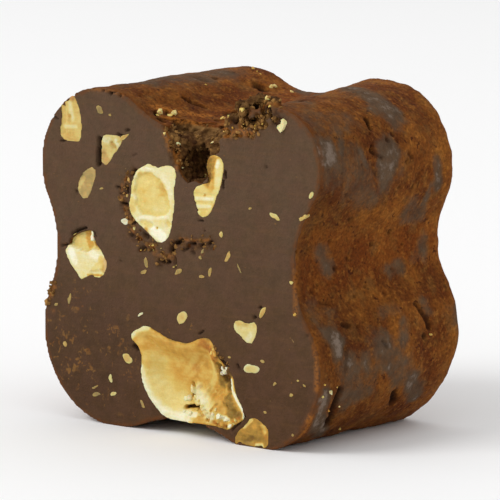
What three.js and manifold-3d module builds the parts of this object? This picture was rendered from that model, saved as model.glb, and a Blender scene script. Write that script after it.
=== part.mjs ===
// Half of a hazelnut chocolate truffle, cut across with a knife. Millimetres, +Z up.
//
// The sweet is a short bar whose section has four rounded lobes, one at each corner, with a shallow
// groove between each pair. The bar runs along Y. Its cut face looks towards -Y and its dusted end
// towards +Y. It lies on its two lower lobes, and the origin is on the floor, under the middle.
// Chopped hazelnut shows in the cut face: each large piece is a solid of its own in its own pocket,
// and the small bits are part of the chocolate. Under the top groove the chocolate has broken away.
import * as THREE from "three";
import { mergeVertices } from "three/addons/utils/BufferGeometryUtils.js";
import Module from "manifold-3d";

// ---- Driving dimensions ----
const LENGTH = 13.8; // from the cut face to the dusted end
const CUT_Y = -LENGTH / 2;
const END_Y = LENGTH / 2;
const END_ROUNDING = 1.0; // radius of the edge round the dusted end
const HALF_SIZE = 11; // from the middle of the section to its sides, and to the floor
const POCKET_GAP = 0.3; // free space between a nut piece and the chocolate round it
const POCKET_MOUTH = 1; // how far the shape that cuts a pocket starts in front of the cut face
const DUST_SWELL = 0.1; // how far the soft mantle wanders in and out
const SWELL_START = 3; // distance behind the cut face from which it wanders fully
// The two waves it wanders in: [turn per mm across or up, turn per mm along the bar, start, share].
const SWELL_WAVES = [
  [0.55, 0.9, 1.2, 1],
  [0.7, -0.6, 0, 0.8],
];

// The four lobes in the order they are joined, counter-clockwise as seen from the front, each as
// [x, z, radius], and the radius of the groove that follows each one.
const CUT_SECTION = {
  lobes: [
    [-5.69, 5.9, 6.0],
    [5.65, 4.87, 5.1],
    [7.09, 17.47, 3.67],
    [-6.75, 16.5, 5.05],
  ],
  grooves: [9.0, 6.8, 7.5, 6.7],
};
const END_SECTION = {
  lobes: [
    [-5.4, 5.95, 6.1],
    [5.08, 6.3, 6.75],
    [5.9, 16.6, 5.45],
    [-5.3, 16.15, 6.15],
  ],
  grooves: [12.8, 4.4, 7.7, 6.8],
};
const LOBE_SIDES = 16; // flat sides on each lobe's arc
const GROOVE_SIDES = 6;
const BODY_STEPS = 8; // steps along the straight part of the bar
const ROUNDING_STEPS = 3;

// Hazelnut pieces: the rim in the cut face as [x, z], counter-clockwise, the depth behind the face,
// and how far the cut side is hollowed, as a hazelnut half is round its core.
const NUT_PIECES = {
  hazelnut_shell: {
    centre: [0.2, 3.5],
    rim: [
      [-3.45, 4.8], [-3.5, 3.6], [-3.1, 2.5], [-2.3, 1.6], [-1.4, 1.0], [1.2, 0.9], [2.4, 0.95],
      [3.7, 0.85], [4.3, 1.3], [4.9, 1.65], [4.8, 2.3], [4.2, 3.3], [4.0, 4.2], [3.6, 4.75],
      [3.0, 5.1], [2.6, 5.8], [2.2, 6.4], [1.3, 6.35], [0.3, 5.95], [-1.2, 6.1], [-2.3, 6.5],
      [-3.1, 6.7], [-3.9, 6.35], [-4.4, 5.9], [-3.8, 5.4],
    ],
    depth: 3.6,
    dish: 0.9,
  },
  hazelnut_kernel: {
    centre: [-2.4, 14.9],
    rim: [
      [-4.2, 15.5], [-4.25, 14.9], [-4.45, 14.2], [-4.15, 13.6], [-3.5, 13.05], [-2.8, 12.6],
      [-2.1, 12.1], [-1.5, 12.15], [-1.05, 12.7], [-0.8, 13.7], [-0.65, 14.6], [-0.7, 15.6],
      [-0.5, 16.4], [-0.75, 17.0], [-1.3, 17.0], [-2.0, 16.85], [-2.75, 17.0], [-3.6, 16.6],
      [-4.05, 16.15],
    ],
    depth: 2.8,
    dish: 0.15,
  },
  hazelnut_chunk: {
    centre: [-8.0, 10.7],
    rim: [
      [-9.8, 10.9], [-9.45, 10.15], [-8.9, 9.6], [-8.5, 9.15], [-8.15, 9.25], [-7.85, 9.5],
      [-7.3, 9.4], [-6.8, 9.4], [-6.4, 9.8], [-6.3, 10.4], [-6.6, 11.0], [-7.1, 11.5],
      [-7.35, 11.9], [-7.4, 12.4], [-8.0, 12.4], [-8.7, 12.2], [-9.5, 11.75], [-9.55, 11.3],
    ],
    depth: 2.4,
    dish: 0.3,
  },
  hazelnut_crescent: {
    centre: [2.35, 15.6],
    rim: [
      [1.95, 16.15], [1.15, 15.9], [0.85, 15.4], [1.1, 14.75], [1.25, 14.1], [1.65, 13.9],
      [2.15, 14.2], [2.6, 15.0], [3.0, 15.9], [3.2, 16.7], [3.3, 17.4], [3.0, 17.87],
      [2.2, 17.85], [1.85, 17.1], [2.0, 16.5],
    ],
    depth: 2.4,
    dish: 0.2,
  },
  hazelnut_upper_edge: {
    centre: [-9.3, 19.3],
    rim: [
      [-10.15, 19.2], [-10.15, 18.4], [-10.0, 18.1], [-9.2, 17.95], [-8.6, 17.92], [-8.4, 18.3],
      [-8.32, 19.1], [-8.45, 19.9], [-8.8, 20.65], [-9.1, 21.0], [-9.8, 20.95], [-10.05, 20.5],
    ],
    depth: 1.9,
    dish: 0,
  },
  hazelnut_foot: {
    centre: [5.5, 0.85],
    rim: [
      [4.1, 0.4], [4.3, -0.1], [6.3, -0.1], [6.75, 0.2], [6.85, 0.7], [6.75, 1.35], [6.3, 1.6],
      [5.9, 1.85], [5.5, 1.88], [5.0, 1.35], [4.5, 0.9],
    ],
    depth: 1.7,
    dish: 0,
  },
  hazelnut_wedge: {
    centre: [-6.05, 17.85],
    rim: [
      [-6.7, 17.3], [-6.7, 16.9], [-6.4, 16.62], [-6.1, 16.75], [-5.6, 17.4], [-5.2, 17.85],
      [-4.9, 18.45], [-5.4, 18.62], [-6.1, 18.65], [-6.7, 18.45], [-6.65, 17.9],
    ],
    depth: 1.6,
    dish: 0.1,
  },
  hazelnut_sliver: {
    centre: [-7.95, 15.5],
    rim: [
      [-8.72, 15.0], [-8.3, 14.35], [-7.9, 14.4], [-7.5, 15.1], [-7.15, 15.9], [-7.2, 16.4],
      [-7.6, 16.45], [-8.2, 16.1], [-8.6, 15.55],
    ],
    depth: 1.5,
    dish: 0,
  },
  hazelnut_triangle: {
    centre: [5.15, 7.25],
    rim: [
      [4.2, 7.1], [4.6, 6.85], [5.1, 6.42], [5.5, 6.42], [5.75, 6.85], [5.9, 7.4], [5.8, 7.85],
      [5.1, 7.7], [4.5, 7.85], [4.05, 7.65],
    ],
    depth: 1.5,
    dish: 0,
  },
};
const RIM_STEP = 0.45; // distance between the corners of a rim
const FEWEST_CORNERS = 14;
// A nut piece from its cut side to its hidden back: [share of the rim, share of the depth].
const NUT_BACK = [
  [1, 0],
  [1, 0.25],
  [0.88, 0.6],
  [0.58, 0.88],
];
const NUT_FRONT = [0.4, 0.75]; // shares of the rim at which the hollowed cut side has a ring

// The broken hollow under the top groove: balls that overlap, each as [x, depth, z] with its radii.
const HOLLOW = [
  { at: [0.85, 0.0, 19.5], radii: [2.4, 2.0, 1.25] },
  { at: [0.95, 0.5, 18.3], radii: [1.9, 2.6, 1.4] },
  { at: [0.85, 0.5, 17.15], radii: [1.3, 2.8, 1.2] },
];
// Strips where the chocolate has crumbled: pits from one end to the other, each up to size in
// radius, that stray from the middle line by up to spread and lie up to deep behind the cut face.
const CRUMBLED = [
  { from: [3.5, 20.1], to: [7.6, 20.6], spread: 0.6, deep: 1.2, pits: 16, size: 0.52 },
  { from: [-3.4, 11.6], to: [2.3, 12.0], spread: 0.75, deep: 0, pits: 18, size: 0.3 },
  { from: [-4.85, 13.7], to: [-4.7, 15.6], spread: 0.2, deep: 0, pits: 6, size: 0.28 },
];
const PIT_SIZES = [0.55, 1]; // smallest and largest pit of a strip, as shares of its size
const HOLLOW_CRUMBS = 22;
const CRUMB_SIZES = [0.22, 0.42]; // smallest and largest radius
const CRUMB_DEPTHS = [0.25, 0.95]; // shares of a ball's depth between which its crumbs lie

// Lumps start as balls: how often each face is split, and how far a corner is moved.
const CRUMB_LOOK = { splits: 0, uneven: 0.18 };
const HOLLOW_LOOK = { splits: 2, uneven: 0.1 };
const BIT_LOOK = { splits: 1, uneven: 0.12 };

// Small bits of nut that are part of the chocolate: [x, z, half width, half height, lean], with the
// lean in degrees, anticlockwise as seen from the front.
const SMALL_BITS = [
  [5.5, 4.87, 0.74, 0.4, -4],
  [-0.15, 7.5, 0.52, 0.5, 20],
  [-4.6, 4.5, 0.5, 0.46, 10],
  [7.27, 14.45, 0.45, 0.2, -20],
  [-6.75, 20.15, 0.48, 0.3, -18],
  [-4.75, 13.2, 0.36, 0.3, 0],
  [3.6, 11.68, 0.18, 0.54, -28],
  [3.1, 13.02, 0.18, 0.3, -10],
  [2.22, 10.65, 0.18, 0.48, -22],
  [-3.05, 10.5, 0.26, 0.58, -35],
  [6.33, 8.42, 0.18, 0.62, -32],
  [-4.5, 18.72, 0.5, 0.12, 24],
  [10.1, 16.02, 0.17, 0.3, -35],
  [-9.5, 7.7, 0.18, 0.42, -15],
  [-6.02, 3.03, 0.18, 0.3, 10],
  [-5.8, 2.03, 0.26, 0.18, 20],
  [-7.15, 1.85, 0.45, 0.22, 14],
  [7.95, 20.1, 0.36, 0.3, 0],
  [-3.5, 7.37, 0.26, 0.12, 30],
];
const BIT_DEPTH = 0.5; // half of how deep a bit reaches
const BIT_STANDS_OUT = 0.12; // how far a small bit stands out of the cut face

// ---- Colours ----
const CHOCOLATE = new THREE.MeshStandardMaterial({ color: 0x5b4735, roughness: 0.75, metalness: 0 });
const NUT_FLESH = new THREE.MeshStandardMaterial({ color: 0xdcc382, roughness: 0.6, metalness: 0 });
const NUT_ROASTED = new THREE.MeshStandardMaterial({ color: 0xd4a751, roughness: 0.5, metalness: 0 });

const wasm = await Module();
wasm.setup();

// ---- Helpers ----

// A seeded draw between 0 and 1.
function seededDraw(seed) {
  let state = seed;
  return () => {
    state = (state + 0x6d2b79f5) | 0;
    let t = Math.imul(state ^ (state >>> 15), 1 | state);
    t = (t + Math.imul(t ^ (t >>> 7), 61 | t)) ^ t;
    return ((t ^ (t >>> 14)) >>> 0) / 4294967296;
  };
}

// A value drawn between a lowest and a highest one.
function between([lowest, highest], draw) {
  return THREE.MathUtils.lerp(lowest, highest, draw());
}

function solidFrom(geometry) {
  const bare = geometry.clone();
  bare.deleteAttribute("normal");
  bare.deleteAttribute("uv");
  const merged = mergeVertices(bare);
  const vertProperties = merged.attributes.position.array;
  const triVerts = new Uint32Array(merged.index.array);
  return new wasm.Manifold(new wasm.Mesh({ numProp: 3, vertProperties, triVerts }));
}

function meshFrom(solid, name, material) {
  const { vertProperties, triVerts } = solid.getMesh();
  const geometry = new THREE.BufferGeometry();
  geometry.setAttribute("position", new THREE.BufferAttribute(vertProperties, 3));
  geometry.setIndex(new THREE.BufferAttribute(triVerts, 1));
  geometry.computeVertexNormals();
  const mesh = new THREE.Mesh(geometry, material.clone());
  mesh.name = name;
  return mesh;
}

// The largest body of a solid, without the loose scraps that a cut can leave.
function largestBody(solid) {
  return solid.decompose().reduce((best, body) => (body.volume() > best.volume() ? body : best));
}

// A closed surface through rings of points of one length. Each end closes on a middle point.
function loftGeometry(rings, startMiddle, endMiddle) {
  const count = rings[0].length;
  const points = [startMiddle, ...rings.flat(), endMiddle];
  const last = points.length - 1;
  const faces = [];
  for (let i = 0; i < count; i++) {
    const j = (i + 1) % count;
    faces.push(0, 1 + j, 1 + i);
    for (let ring = 0; ring < rings.length - 1; ring++) {
      const here = 1 + ring * count;
      const next = here + count;
      faces.push(here + i, here + j, next + j, here + i, next + j, next + i);
    }
    const end = 1 + (rings.length - 1) * count;
    faces.push(last, end + i, end + j);
  }
  const geometry = new THREE.BufferGeometry().setFromPoints(points);
  geometry.setIndex(faces.reverse());
  return geometry;
}

// ---- The body ----

function mixSections(t) {
  const mix = (a, b) => THREE.MathUtils.lerp(a, b, t);
  return {
    lobes: CUT_SECTION.lobes.map((lobe, i) => lobe.map((v, k) => mix(v, END_SECTION.lobes[i][k]))),
    grooves: CUT_SECTION.grooves.map((r, i) => mix(r, END_SECTION.grooves[i])),
  };
}

// The middle of the groove circle that touches two neighbouring lobes from outside.
function grooveMiddle([xa, za, ra], [xb, zb, rb], groove) {
  const apart = Math.hypot(xb - xa, zb - za);
  const [toA, toB] = [ra + groove, rb + groove];
  const along = (toA ** 2 - toB ** 2 + apart ** 2) / (2 * apart);
  const out = Math.sqrt(toA ** 2 - along ** 2);
  const [ux, uz] = [(xb - xa) / apart, (zb - za) / apart];
  return [xa + ux * along + uz * out, za + uz * along - ux * out];
}

// The outline of a section, moved inwards by inset: arcs of the lobes and grooves in turn.
function sectionOutline({ lobes, grooves }, inset) {
  const middles = lobes.map((lobe, i) => grooveMiddle(lobe, lobes[(i + 1) % 4], grooves[i]));
  const points = [];
  lobes.forEach(([x, z, radius], i) => {
    const [beforeX, beforeZ] = middles[(i + 3) % 4];
    const [afterX, afterZ] = middles[i];
    const [nextX, nextZ] = lobes[(i + 1) % 4];
    const from = Math.atan2(beforeZ - z, beforeX - x);
    const to = Math.atan2(afterZ - z, afterX - x);
    const lobeArc = new THREE.ArcCurve(x, z, radius - inset, from, to, false);
    const grooveFrom = Math.atan2(z - afterZ, x - afterX);
    const grooveTo = Math.atan2(nextZ - afterZ, nextX - afterX);
    const grooveArc = new THREE.ArcCurve(
      afterX, afterZ, grooves[i] + inset, grooveFrom, grooveTo, true);
    points.push(...lobeArc.getPoints(LOBE_SIDES).slice(0, -1));
    points.push(...grooveArc.getPoints(GROOVE_SIDES).slice(0, -1));
  });
  return points;
}

// The soft mantle is not quite even: it swells and sinks a little away from the cut face.
function swell(y, ...spot) {
  const away = THREE.MathUtils.smoothstep(y, CUT_Y, CUT_Y + SWELL_START);
  const waves = SWELL_WAVES.map(
    ([turn, along, start, share], i) => share * Math.sin(turn * spot[i] + along * y + start));
  return 0.5 * DUST_SWELL * away * (waves[0] + waves[1]);
}

function bodyRing(y, inset) {
  const section = mixSections((y - CUT_Y) / LENGTH);
  return sectionOutline(section, inset).map(
    ({ x, y: z }) => new THREE.Vector3(x * (1 + swell(y, x, z) / HALF_SIZE), y, z + swell(y, z, x)));
}

function bodyGeometry() {
  const rings = [];
  const straight = LENGTH - END_ROUNDING;
  for (let step = 0; step <= BODY_STEPS; step++) {
    rings.push(bodyRing(CUT_Y + (straight * step) / BODY_STEPS, 0));
  }
  for (let step = 1; step <= ROUNDING_STEPS; step++) {
    const turn = (Math.PI / 2) * (step / ROUNDING_STEPS);
    const y = END_Y - END_ROUNDING * (1 - Math.sin(turn));
    rings.push(bodyRing(y, END_ROUNDING * (1 - Math.cos(turn))));
  }
  const cutMiddle = new THREE.Vector3(0, CUT_Y, HALF_SIZE);
  const endMiddle = new THREE.Vector3(0, END_Y, HALF_SIZE);
  return loftGeometry(rings, cutMiddle, endMiddle);
}

// The half sweet before anything is cut into it, flattened where it rests on the floor.
function wholeBody() {
  const wide = 4 * HALF_SIZE;
  const under = new THREE.BoxGeometry(wide, wide, wide).translate(0, 0, -wide / 2);
  return solidFrom(bodyGeometry()).subtract(solidFrom(under));
}

// ---- The nut pieces ----

// A rim as a smooth closed line, moved outwards by gap.
function smoothRim({ rim }, gap) {
  const corners = rim.map(([x, z]) => new THREE.Vector3(x, 0, z));
  const line = new THREE.CatmullRomCurve3(corners, true, "centripetal");
  const count = Math.max(FEWEST_CORNERS, Math.round(line.getLength() / RIM_STEP));
  return line.getSpacedPoints(count).slice(0, -1).map((p, i) => {
    const t = line.getTangentAt(i / count);
    return [p.x + t.z * gap, p.z - t.x * gap];
  });
}

function nutRing(piece, rim, share, y) {
  const [cx, cz] = piece.centre;
  return rim.map(([x, z]) => new THREE.Vector3(cx + (x - cx) * share, y, cz + (z - cz) * share));
}

function nutSolid(piece) {
  const rim = smoothRim(piece, 0);
  const [cx, cz] = piece.centre;
  const dishAt = (share) => CUT_Y + piece.dish * (1 - share ** 2);
  const front = NUT_FRONT.map((share) => nutRing(piece, rim, share, dishAt(share)));
  const back = NUT_BACK.map(([share, deep]) => nutRing(piece, rim, share, CUT_Y + deep * piece.depth));
  const startMiddle = new THREE.Vector3(cx, dishAt(0), cz);
  const endMiddle = new THREE.Vector3(cx, CUT_Y + piece.depth, cz);
  return solidFrom(loftGeometry([...front, ...back], startMiddle, endMiddle));
}

// The room that a nut piece needs: its own shape, larger all round, and open at the cut face.
function pocketSolid(piece) {
  const rim = smoothRim(piece, POCKET_GAP);
  const [cx, cz] = piece.centre;
  const outside = CUT_Y - POCKET_MOUTH;
  const deepest = piece.depth + POCKET_GAP;
  const rings = NUT_BACK.map(([share, deep]) => nutRing(piece, rim, share, CUT_Y + deep * deepest));
  rings[0] = nutRing(piece, rim, 1, outside);
  const startMiddle = new THREE.Vector3(cx, outside, cz);
  return solidFrom(loftGeometry(rings, startMiddle, new THREE.Vector3(cx, CUT_Y + deepest, cz)));
}

// ---- The broken places ----

// A lump with flat sides and uneven corners, for hollows, pits and crumbs.
function lump(at, radii, draw, { splits, uneven }) {
  const geometry = mergeVertices(bareBall(splits));
  const corner = new THREE.Vector3();
  const corners = geometry.attributes.position;
  for (let i = 0; i < corners.count; i++) {
    corner.fromBufferAttribute(corners, i).multiplyScalar(1 + uneven * (2 * draw() - 1));
    corners.setXYZ(i, corner.x * radii[0], corner.y * radii[1], corner.z * radii[2]);
  }
  return solidFrom(geometry.translate(at[0], at[1], at[2]));
}

function bareBall(splits) {
  const ball = new THREE.IcosahedronGeometry(1, splits);
  ball.deleteAttribute("normal");
  ball.deleteAttribute("uv");
  return ball;
}

function brokenHollow(draw) {
  const balls = HOLLOW.map(
    ({ at: [x, deep, z], radii }) => lump([x, CUT_Y + deep, z], radii, draw, HOLLOW_LOOK));
  return wasm.Manifold.union(balls);
}

function crumbledPits(draw) {
  return CRUMBLED.flatMap(({ from, to, spread, deep, pits, size }) => {
    return Array.from({ length: pits }, (_, i) => {
      const along = (i + draw()) / pits;
      const x = THREE.MathUtils.lerp(from[0], to[0], along);
      const z = THREE.MathUtils.lerp(from[1], to[1], along) + spread * (2 * draw() - 1);
      const radius = size * between(PIT_SIZES, draw);
      return lump([x, CUT_Y + deep * draw(), z], [radius, radius, radius], draw, CRUMB_LOOK);
    });
  });
}

// Crumbs that cling to the wall of the hollow, each set into the wall by half its size.
function hollowCrumbs(draw) {
  return Array.from({ length: HOLLOW_CRUMBS }, () => {
    const { at: [x, deep, z], radii } = HOLLOW[Math.floor(draw() * HOLLOW.length)];
    const round = draw() * 2 * Math.PI;
    const inwards = between(CRUMB_DEPTHS, draw);
    const side = Math.sqrt(1 - inwards ** 2);
    const size = between(CRUMB_SIZES, draw);
    const spot = [
      x + radii[0] * side * Math.cos(round),
      CUT_Y + deep + radii[1] * inwards,
      z + radii[2] * side * Math.sin(round),
    ];
    return lump(spot, [size, size, size], draw, CRUMB_LOOK);
  });
}

function smallBits(draw) {
  return SMALL_BITS.map(([x, z, halfWidth, halfHeight, lean]) => {
    const bit = lump([0, 0, 0], [halfWidth, BIT_DEPTH, halfHeight], draw, BIT_LOOK);
    return bit.rotate([0, -lean, 0]).translate([x, CUT_Y + BIT_DEPTH - BIT_STANDS_OUT, z]);
  });
}

// ---- The truffle ----

function truffle() {
  const draw = seededDraw(11);
  const whole = wholeBody();
  const group = new THREE.Group();
  group.name = "cut_truffle";

  const pockets = Object.values(NUT_PIECES).map(pocketSolid);
  const room = wasm.Manifold.union([...pockets, brokenHollow(draw), ...crumbledPits(draw)]);
  const crumbs = wasm.Manifold.union(hollowCrumbs(draw)).intersect(whole);
  const bits = wasm.Manifold.union(smallBits(draw));
  const clearOfNuts = wasm.Manifold.union(pockets);
  const relief = crumbs.add(bits).subtract(clearOfNuts);
  const chocolate = largestBody(whole.subtract(room).add(relief));
  group.add(meshFrom(chocolate, "chocolate", CHOCOLATE));

  for (const [name, piece] of Object.entries(NUT_PIECES)) {
    const solid = largestBody(nutSolid(piece).intersect(whole));
    group.add(meshFrom(solid, name, name === "hazelnut_shell" ? NUT_ROASTED : NUT_FLESH));
  }
  return group;
}

export default truffle();
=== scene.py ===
# %% [markdown]
# # Half of a hazelnut chocolate truffle
#
# The sweet is a short bar of soft chocolate with four rounded lobes, rolled in cocoa and cut across
# with a knife. This lesson dresses its plain solid model: the chocolate, the chopped hazelnut in
# the cut face, the broken place under the top groove, and the finish of each.
#
# The first cell loads the solid model. It is the fixed frame: every piece made here goes where a
# solid already is, so nothing has to be fitted afterwards.

# %% Load the solid model
import cmath
import math

import bmesh
import bpy
import numpy as np
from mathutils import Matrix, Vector, noise
from mathutils.bvhtree import BVHTree


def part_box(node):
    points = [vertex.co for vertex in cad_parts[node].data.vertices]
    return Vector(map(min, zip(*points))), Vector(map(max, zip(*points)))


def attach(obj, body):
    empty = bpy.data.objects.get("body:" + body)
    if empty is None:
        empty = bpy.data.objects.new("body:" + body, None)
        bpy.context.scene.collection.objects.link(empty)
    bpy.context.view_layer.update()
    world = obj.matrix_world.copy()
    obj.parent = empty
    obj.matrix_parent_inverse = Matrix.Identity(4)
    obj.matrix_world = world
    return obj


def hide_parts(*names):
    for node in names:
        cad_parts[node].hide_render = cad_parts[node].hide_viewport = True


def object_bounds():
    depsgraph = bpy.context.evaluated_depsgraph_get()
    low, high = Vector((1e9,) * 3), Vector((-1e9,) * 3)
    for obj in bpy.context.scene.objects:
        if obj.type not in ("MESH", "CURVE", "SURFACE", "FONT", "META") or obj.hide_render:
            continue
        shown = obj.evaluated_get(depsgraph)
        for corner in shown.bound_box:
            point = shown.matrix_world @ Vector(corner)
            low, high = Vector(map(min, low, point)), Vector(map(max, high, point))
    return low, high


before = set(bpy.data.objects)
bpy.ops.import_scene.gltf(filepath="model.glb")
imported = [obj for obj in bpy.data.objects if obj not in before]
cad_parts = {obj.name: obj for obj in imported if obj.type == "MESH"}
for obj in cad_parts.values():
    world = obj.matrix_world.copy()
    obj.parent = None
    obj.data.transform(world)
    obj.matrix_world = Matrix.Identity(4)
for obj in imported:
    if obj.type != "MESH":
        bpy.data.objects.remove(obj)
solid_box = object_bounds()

print("solid model, mm:", [[round(v * 1000, 2) for v in corner] for corner in solid_box])

# %% [markdown]
# ## Working in millimetres
# The sweet is 22 mm high. Some of Blender's modifiers have a smallest step of 0.1 mm in a scene that
# is measured in metres, which is too coarse for crumbs. So each piece is modelled a thousand times too
# large, where one unit is one millimetre, and is brought back to size at the very end.

# %% The scale, and the two ends of the bar
MM = 0.001
CUT_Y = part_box("hazelnut_kernel")[0].y / MM
END_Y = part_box("chocolate")[1].y / MM
MIDDLE_Z = 11.0
draw = np.random.default_rng(7)
print(f"cut face at y {CUT_Y:.2f} mm, dusted end at y {END_Y:.2f} mm")

# %% [markdown]
# ## Small helpers
# An operator works on everything that is selected, and loading the solid model leaves all of it
# selected. So each step first lets go of everything and then picks up what it works on. Vertex places
# could be read one by one, but reading them all at once as the rows of a table is far quicker.

# %% Pick pieces up, choose their parts, and move their points
def pick(*objects):
    if bpy.context.object and bpy.context.object.mode != "OBJECT":
        bpy.ops.object.mode_set(mode="OBJECT")
    bpy.ops.object.select_all(action="DESELECT")
    for obj in objects:
        obj.select_set(True)
    if objects:
        bpy.context.view_layer.objects.active = objects[0]


def edit(obj, chosen, element="VERT"):
    """Opens the piece in edit mode with the vertices that chosen(place) names."""
    pick(obj)
    bpy.ops.object.mode_set(mode="EDIT")
    bpy.ops.mesh.select_mode(type="VERT")
    bpy.ops.mesh.select_all(action="DESELECT")
    shape = bmesh.from_edit_mesh(obj.data)
    for vertex in shape.verts:
        vertex.select = bool(chosen(vertex.co))
    shape.select_flush_mode()
    shape.select_flush(True)
    bmesh.update_edit_mesh(obj.data)
    bpy.ops.mesh.select_mode(type=element)


def close_edit():
    bpy.ops.object.mode_set(mode="OBJECT")


def places(obj):
    """All vertex places of a piece, one row each."""
    flat = np.empty(len(obj.data.vertices) * 3, np.float32)
    obj.data.vertices.foreach_get("co", flat)
    return flat.reshape(-1, 3).astype(float)


def place_all(obj, rows):
    obj.data.vertices.foreach_set("co", np.asarray(rows, np.float32).ravel())
    obj.data.update()


pick()
print("still selected after pick():", len(bpy.context.selected_objects))

# %% [markdown]
# ## The outline of the bar
# Each lobe is a round corner, and each groove between two lobes is a circle that touches both from
# outside. Only the four middles and eight radii are needed; the arcs follow from them. A point of the
# outline is written as a complex number, x + z·i, which makes turning and measuring short.

# %% Lobes and grooves of the two ends
CUT_LOBES = [(-5.69, 5.9, 6.0), (5.65, 4.87, 5.1), (7.09, 17.47, 3.67), (-6.75, 16.5, 5.05)]
CUT_GROOVES = [9.0, 6.8, 7.5, 6.7]
END_LOBES = [(-5.4, 5.95, 6.1), (5.08, 6.3, 6.75), (5.9, 16.6, 5.45), (-5.3, 16.15, 6.15)]
END_GROOVES = [12.8, 4.4, 7.7, 6.8]
LOBE_STEPS = 48
GROOVE_STEPS = 20


def groove_middle(a, b, reach_a, reach_b):
    """Where a circle lies that is reach_a away from middle a and reach_b away from middle b."""
    apart = abs(b - a)
    along = (reach_a**2 - reach_b**2 + apart**2) / (2 * apart)
    out = math.sqrt(reach_a**2 - along**2)
    return a + (b - a) / apart * (along - 1j * out)


def arc(middle, radius, start, stop, turn, steps):
    """Points round middle from the side of start to the side of stop; turn is 1 or -1."""
    first = cmath.phase(start - middle)
    sweep = turn * ((turn * (cmath.phase(stop - middle) - first)) % (2 * math.pi))
    return [middle + cmath.rect(radius, first + sweep * i / steps) for i in range(steps)]


def section_outline(lobes, grooves):
    """The outline of one end: four lobes, with a groove between each and the next."""
    middles = [complex(x, z) for x, z, _ in lobes]
    radii = [radius for _, _, radius in lobes]
    between = []
    for i, groove in enumerate(grooves):
        following = (i + 1) % len(lobes)
        reaches = radii[i] + groove, radii[following] + groove
        between.append(groove_middle(middles[i], middles[following], *reaches))
    points = []
    for i, (middle, radius) in enumerate(zip(middles, radii)):
        groove, following = between[i], middles[(i + 1) % len(lobes)]
        points += arc(middle, radius, between[i - 1], groove, 1, LOBE_STEPS)
        points += arc(groove, grooves[i], middle, following, -1, GROOVE_STEPS)
    return points


cut_outline = section_outline(CUT_LOBES, CUT_GROOVES)
end_outline = section_outline(END_LOBES, END_GROOVES)
print("points round the bar:", len(cut_outline))

# %% [markdown]
# ## The bar
# A bar with two different ends could be a curve with a bevel, or a loft. Here a filled circle is laid
# on the cut outline and extruded to the far end, where its points are moved to the other outline. A
# bevel rounds the dusted end, and a bisect gives the lower lobes the flat that they lie on.

# %% Extrude the bar from its cut outline
END_ROUNDING = 1.0
END_STEPS = 8


def add_outline(name, points, y):
    """A filled outline at y, with its face towards the viewer."""
    pick()
    bpy.ops.mesh.primitive_circle_add(vertices=len(points), radius=1, fill_type="NGON")
    obj = bpy.context.object
    obj.name = obj.data.name = name
    place_all(obj, [(p.real, y, p.imag) for p in points])
    return obj


def extrude_outline(obj, count, y, points):
    """Extrudes the last outline of a piece to y, and lays its points on a new outline."""
    rows = places(obj)
    last = rows[-count:, 1].mean()
    edit(obj, lambda place: abs(place.y - last) < 1e-4, "FACE")
    bpy.ops.mesh.extrude_region_move(TRANSFORM_OT_translate={"value": (0, y - last, 0)})
    close_edit()
    rows = places(obj)
    rows[-count:] = [(p.real, y, p.imag) for p in points]
    place_all(obj, rows)


def face_outwards(obj):
    edit(obj, lambda place: True, "FACE")
    bpy.ops.mesh.normals_make_consistent(inside=False)
    close_edit()


body = add_outline("truffle_body", cut_outline, CUT_Y)
extrude_outline(body, len(cut_outline), END_Y, end_outline)
edit(body, lambda place: place.y > END_Y - 0.01, "EDGE")
bpy.ops.mesh.bevel(offset=END_ROUNDING, segments=END_STEPS, affect="EDGES")
close_edit()
edit(body, lambda place: True, "FACE")
bpy.ops.mesh.bisect(plane_co=(0, 0, 0), plane_no=(0, 0, 1), use_fill=True, clear_inner=True)
close_edit()
face_outwards(body)
print("bar:", len(body.data.vertices), "vertices, box", [round(v, 2) for v in body.dimensions])

# %% [markdown]
# ## The rims of the nut pieces
# A chopped hazelnut is cut by the same knife as the chocolate, so its rim lies in the cut face. The
# rim is read from the solid model. A few points are not a smooth line, though, so the rim is rebuilt
# from its own waves: a Fourier series through the points gives as many more as are wanted. A little
# noise then chips it, because a chopped nut has no smooth edge.

# %% Read the rims
NUT_MIDDLES = {
    "hazelnut_shell": (0.2, 3.5),
    "hazelnut_kernel": (-2.4, 14.9),
    "hazelnut_chunk": (-8.0, 10.7),
    "hazelnut_crescent": (2.35, 15.6),
    "hazelnut_upper_edge": (-9.3, 19.3),
    "hazelnut_foot": (5.5, 0.85),
    "hazelnut_wedge": (-6.05, 17.85),
    "hazelnut_sliver": (-7.95, 15.5),
    "hazelnut_triangle": (5.15, 7.25),
}
RIM_POINTS = 128
RIM_WAVES = 22
RIM_CHIPS = 0.05


def noise_at(rows, per_mm, seed=0.0):
    """Soft noise from about -1 to 1, with one wave in each 1 / per_mm."""
    return np.array([noise.noise(Vector(row) * per_mm + Vector((seed, seed, seed))) for row in rows])


def read_rim(node):
    """The outermost points of a nut piece in the cut face, in turn round its middle."""
    middle = complex(*NUT_MIDDLES[node])
    found = []
    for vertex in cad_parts[node].data.vertices:
        place = vertex.co / MM
        if abs(place.y - CUT_Y) < 0.001:
            found.append(complex(place.x, place.z) - middle)
    rim = []
    for reach in sorted(found, key=cmath.phase):
        if abs(reach) < 0.05:
            continue
        same_way = [abs(other) for other in found if abs(cmath.phase(other / reach)) < 0.01]
        if abs(reach) >= max(same_way) - 1e-6 and (not rim or abs(rim[-1] - reach) > 0.01):
            rim.append(reach)
    return [middle + reach for reach in rim]


def even_rim(rim, count):
    """A closed line through the rim's corners, with count points at equal steps along it."""
    corners = np.array(rim + rim[:1])
    along = np.concatenate([[0], np.cumsum(np.abs(np.diff(corners)))])
    steps = np.arange(count) / count * along[-1]
    return np.interp(steps, along, corners.real) + 1j * np.interp(steps, along, corners.imag)


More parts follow.
